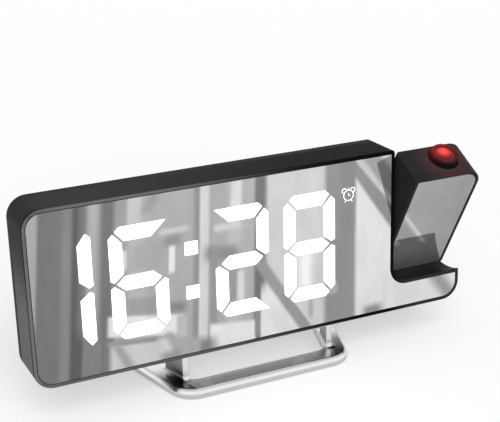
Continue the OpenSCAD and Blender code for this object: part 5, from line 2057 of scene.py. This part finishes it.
@dataclass
class RearKeys(SubAssembly):
    """Six crowned keys in the back, each with a raised sign.

    Args:
        mid_x, pitch, z: middle, spacing and height of the row.
        w, h: width and height of a key.
        flange: how far the flange inside the cover stands out.
        low, flange_top, top: depths of the flange's front and back, and of the crown.
        edge: how far the rounded edge draws in.
        stroke: width of a sign's strokes.
        sign_y: depths of a stroke's crest and root, from the crown.
    """

    mid_x: float = -16.7
    pitch: float = 15.0
    z: float = 57.0
    w: float = 10.0
    h: float = 4.6
    flange: float = 0.8
    low: float = 17.75
    flange_top: float = 18.4
    top: float = 21.38
    edge: float = 0.6
    stroke: float = 0.28
    sign_y: Pair = (0.1, -0.2)

    ORDER = (Body.KEY_SET, Body.KEY_UP, Body.KEY_DOWN, Body.KEY_ALARM, Body.KEY_SNOOZE,
             Body.KEY_LIGHT)

    def build(self) -> None:
        """Builds and dresses the keys."""
        middle = (len(self.ORDER) - 1) / 2
        for k, body in enumerate(self.ORDER):
            at = (self.mid_x + (k - middle) * self.pitch, self.z)
            key = Maker.piece(body.value + "_cap", self._cap(at).carried(STANCE.clock), body)
            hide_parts(body.value)
            self.dress(key, Finish.KEY, "keys")
            strokes = Surface.joined(self._sign(body, at)).carried(STANCE.clock)
            sign = Maker.piece(body.value + "_sign", strokes, body)
            self.dress(sign, Finish.KEY_SIGN, "keys")

    def _cap(self, at: Pair) -> Surface:
        """A key: pill outlines from the flange up, drawn in by edge (1 - cos) at its rounded edge.

        Args:
            at: place (x, z) of its middle.

        Returns:
            The key with flat caps.
        """
        t = np.linspace(0, np.pi / 2, 6)
        steps = np.vstack([
            [[-self.flange, self.low], [-self.flange, self.flange_top],
             [0.0, self.flange_top + 0.01]],
            np.stack([self.edge * (1 - np.cos(t)), self.top - 0.65 + 0.5 * np.sin(t)], -1),
            [[1.2, self.top - 0.06], [1.9, self.top - 0.015]]])
        rings = np.stack([raised(pill(self.w - 2 * e, self.h - 2 * e), y, at) for e, y in steps])
        return Surface.from_rings(rings, Cap.FLAT)

    def _sign(self, key: Body, at: Pair) -> list[Surface]:
        """The strokes of a key's sign.

        Args:
            key: the key.
            at: place (x, z) of its middle.

        Returns:
            The strokes.
        """
        loops, lines = self._strokes()[key]
        crest, root = (self.top + y for y in self.sign_y)
        return ([ribbon(path + at, self.stroke, crest, root, closed=True) for path in loops]
                + [ribbon(path + at, self.stroke, crest, root) for path in lines])

    @staticmethod
    def _strokes() -> dict[Body, tuple[list[Array], list[Array]]]:
        """Each key's sign round its own middle: dial, arrows, clock, moon and lamp.

        Returns:
            Key to its closed strokes and its open ones.
        """
        arrow = softened(np.array([[1.1, -0.8], [0.0, 0.9], [-1.1, -0.8]]), 0.15)
        dial = arc(0, 0, 0.95, 0, 360, 24)[:-1]
        dash = np.array([[-0.4, 0.0], [0.0, 0.0], [0.4, 0.0]])
        hands = [np.array([[0.0, 0.6], [0.0, 0.3], [0.0, 0.0]]),
                 np.array([[0.0, 0.0], [0.25, 0.0], [0.5, 0.0]])]
        moon = [arc(0, 0, 1.0, 60, 300, 20), arc(0.75, 0, 0.9, 105, 255, 16)]
        lamp = arc(0, 0, 0.4, 0, 360, 16)[:-1]
        rays = [arc(0, 0, 1, a, a, 2) * np.array([[0.75], [0.95], [1.2]])
                for a in range(0, 360, 60)]
        return {Body.KEY_SET: ([dial], [dash]), Body.KEY_UP: ([arrow], []),
                Body.KEY_DOWN: ([arrow * [1, -1]], []), Body.KEY_ALARM: ([dial], hands),
                Body.KEY_SNOOZE: ([], moon), Body.KEY_LIGHT: ([lamp], rays)}


@dataclass
class InnerWorks(SubAssembly):
    """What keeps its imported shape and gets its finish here, and the power socket's tongue.

    Args:
        tongue, tongue_at, tongue_y: size, place (x, z) and end depths of the tongue.
    """

    tongue: Pair = (6.4, 0.8)
    tongue_at: Pair = (30.0, 15.0)
    tongue_y: Pair = (15.4, 19.4)

    PLAN = {
        Finish.STEEL: ("board_screws", "hinge_shaft", "spring_washer", "retaining_clip",
                       "power_socket", "crystal", "coin_cell", "cooling_block"),
        Finish.FITTING: ("board_header", "clock_chip", "tact_switches", "buzzer", "cell_holder",
                         "optics_holder", "lens_barrel"),
        Finish.DIFFUSER: ("segment_diffusers", "reflector_tray"),
        Finish.BOARD: ("display_board", "main_board", "lamp_board"),
        Finish.BRASS: ("board_standoffs",), Finish.BUSH: ("hinge_bush",),
        Finish.CHIP: ("segment_leds",), Finish.LAMP: ("projection_lamp",),
        Finish.OPTIC: ("condenser_lens", "time_slide")}

    def build(self) -> None:
        """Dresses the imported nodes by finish, and adds the socket's tongue."""
        for finish, names in self.PLAN.items():
            for name in names:
                self.dress(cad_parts[name], finish)
        rings = np.stack([raised(pill(*self.tongue), y, self.tongue_at) for y in self.tongue_y])
        tongue = Surface.from_rings(rings).carried(STANCE.clock)
        obj = Maker.piece("socket_tongue", tongue, Body.CLOCK)
        self.dress(obj, Finish.FITTING, "component")


# ---------------- studio

@dataclass
class Studio:
    """Pale floor, soft even light and the camera.

    Args:
        camera_at: place of the camera, millimetres.
        right, down, forward: the picture's directions.
        lens_mm, sensor_mm: focal length and sensor width.
        clip_m: nearest and furthest depth that is drawn, metres.
        sky, sun: strengths of the sky and the sun.
        sun_spread, sun_turn: breadth and turns of the sun, degrees.
        floor_half_m, floor_drop_m: half width of the floor, and its drop.
        floor_tone, floor_lift: its tone, and the share of white added to it.
    """

    camera_at: Triple = (-196.51, -412.37, 251.26)
    right: Triple = (0.9008, -0.4342, 0.0003)
    down: Triple = (-0.1620, -0.3369, -0.9275)
    forward: Triple = (0.4029, 0.8354, -0.3739)
    lens_mm: float = 87.3
    sensor_mm: float = 36.0
    clip_m: Pair = (0.02, 20.0)
    sky: float = 0.52
    sun: float = 2.55
    sun_spread: float = 60.0
    sun_turn: Triple = (50.0, -14.0, 0.0)
    floor_half_m: float = 3.0
    floor_drop_m: float = 0.00002
    floor_tone: float = 0.965
    floor_lift: float = 0.38

    WHITE = (1.0, 1.0, 1.0)

    def build(self) -> None:
        """Builds the studio."""
        self._floor()
        self._world()
        self._sun()
        self._camera()
        bpy.context.scene.view_settings.view_transform = "Standard"

    def _floor(self) -> None:
        """A wide flat floor: z just under 0 on an even grid."""
        n, half = 9, self.floor_half_m
        u, v = np.meshgrid(np.linspace(-half, half, n), np.linspace(-half, half, n), indexing="ij")
        points = np.stack([u, v, np.full_like(u, -self.floor_drop_m)], axis=-1).reshape(-1, 3)
        i = np.arange(n * n).reshape(n, n)
        quads = np.stack([i[:-1, :-1], i[1:, :-1], i[1:, 1:], i[:-1, 1:]], axis=-1).reshape(-1, 4)
        mesh = bpy.data.meshes.new("studio_floor")
        mesh.from_pydata(points.tolist(), [], quads.tolist())
        floor = bpy.data.objects.new("studio_floor", mesh)
        bpy.context.scene.collection.objects.link(floor)
        mesh.materials.append(self._floor_white())

    def _floor_white(self) -> Material:
        """A pale matt finish, lifted towards white where it is looked at.

        Returns:
            The floor's material.
        """
        material = bpy.data.materials.new("floor_white")
        material.use_nodes = True
        g = Graph(material.node_tree)
        g.tree.nodes.clear()
        lit = g.node("ShaderNodeBsdfDiffuse", {"Color": rgba((self.floor_tone,) * 3)})
        white = g.node("ShaderNodeEmission", {"Color": rgba(self.WHITE), "Strength": 1.0})
        share = g.times(self._seen(g), self.floor_lift)
        mixed = g.node("ShaderNodeMixShader", {0: share, 1: lit.outputs[0], 2: white.outputs[0]})
        out = g.node("ShaderNodeOutputMaterial")
        g.tree.links.new(mixed.outputs[0], out.inputs[0])
        return material

    @staticmethod
    def _seen(g: Graph) -> Socket:
        """1 for camera, glossy and transmission rays, 0 for the light that falls on things.

        Args:
            g: the graph it is for.

        Returns:
            The mask.
        """
        path = g.node("ShaderNodeLightPath").outputs
        return g.math("MAXIMUM", g.math("MAXIMUM", path["Is Camera Ray"], path["Is Glossy Ray"]),
                      path["Is Transmission Ray"])

    def _world(self) -> None:
        """An even sky that camera, glossy and transmission rays see as white."""
        world = bpy.data.worlds.new("studio_sky")
        bpy.context.scene.world = world
        world.use_nodes = True
        g = Graph(world.node_tree)
        g.tree.nodes.clear()
        dim, white = (g.node("ShaderNodeBackground", {"Color": rgba(self.WHITE), "Strength": power})
                      for power in (self.sky, 1.0))
        mixed = g.node("ShaderNodeMixShader",
                       {0: self._seen(g), 1: dim.outputs[0], 2: white.outputs[0]})
        out = g.node("ShaderNodeOutputWorld")
        g.tree.links.new(mixed.outputs[0], out.inputs[0])

    def _sun(self) -> None:
        """A broad soft sun from above."""
        lamp = bpy.data.lights.new("soft_sun", "SUN")
        lamp.energy = self.sun
        lamp.angle = math.radians(self.sun_spread)
        obj = bpy.data.objects.new("soft_sun", lamp)
        obj.rotation_euler = [math.radians(turn) for turn in self.sun_turn]
        obj.visible_glossy = False
        bpy.context.scene.collection.objects.link(obj)

    def _camera(self) -> None:
        """The camera, by its place and axes."""
        data = bpy.data.cameras.new("camera")
        data.lens, data.sensor_width = self.lens_mm, self.sensor_mm
        data.clip_start, data.clip_end = self.clip_m
        camera = bpy.data.objects.new("camera", data)
        rows = (self.right, [-v for v in self.down], [-v for v in self.forward])
        turn = Matrix(rows).transposed().to_4x4()
        camera.matrix_world = Matrix.Translation(Vector(self.camera_at) * MM) @ turn
        bpy.context.scene.collection.objects.link(camera)
        bpy.context.scene.camera = camera


def main() -> None:
    """Builds the clock in order and reports each piece."""
    logging.basicConfig(level=logging.INFO, format="%(name)s: %(message)s")
    Studio().build()
    finishes = Finishes()
    case = ClockCase(finishes)
    for part in (case, MirrorFace(finishes, case), Projector(finishes), MetalStand(finishes),
                 RearKeys(finishes), InnerWorks(finishes)):
        part.build()
        for piece in part.pieces:
            LOG.info("%s: %s", type(part).__name__, piece)


if __name__ == "__main__":
    main()
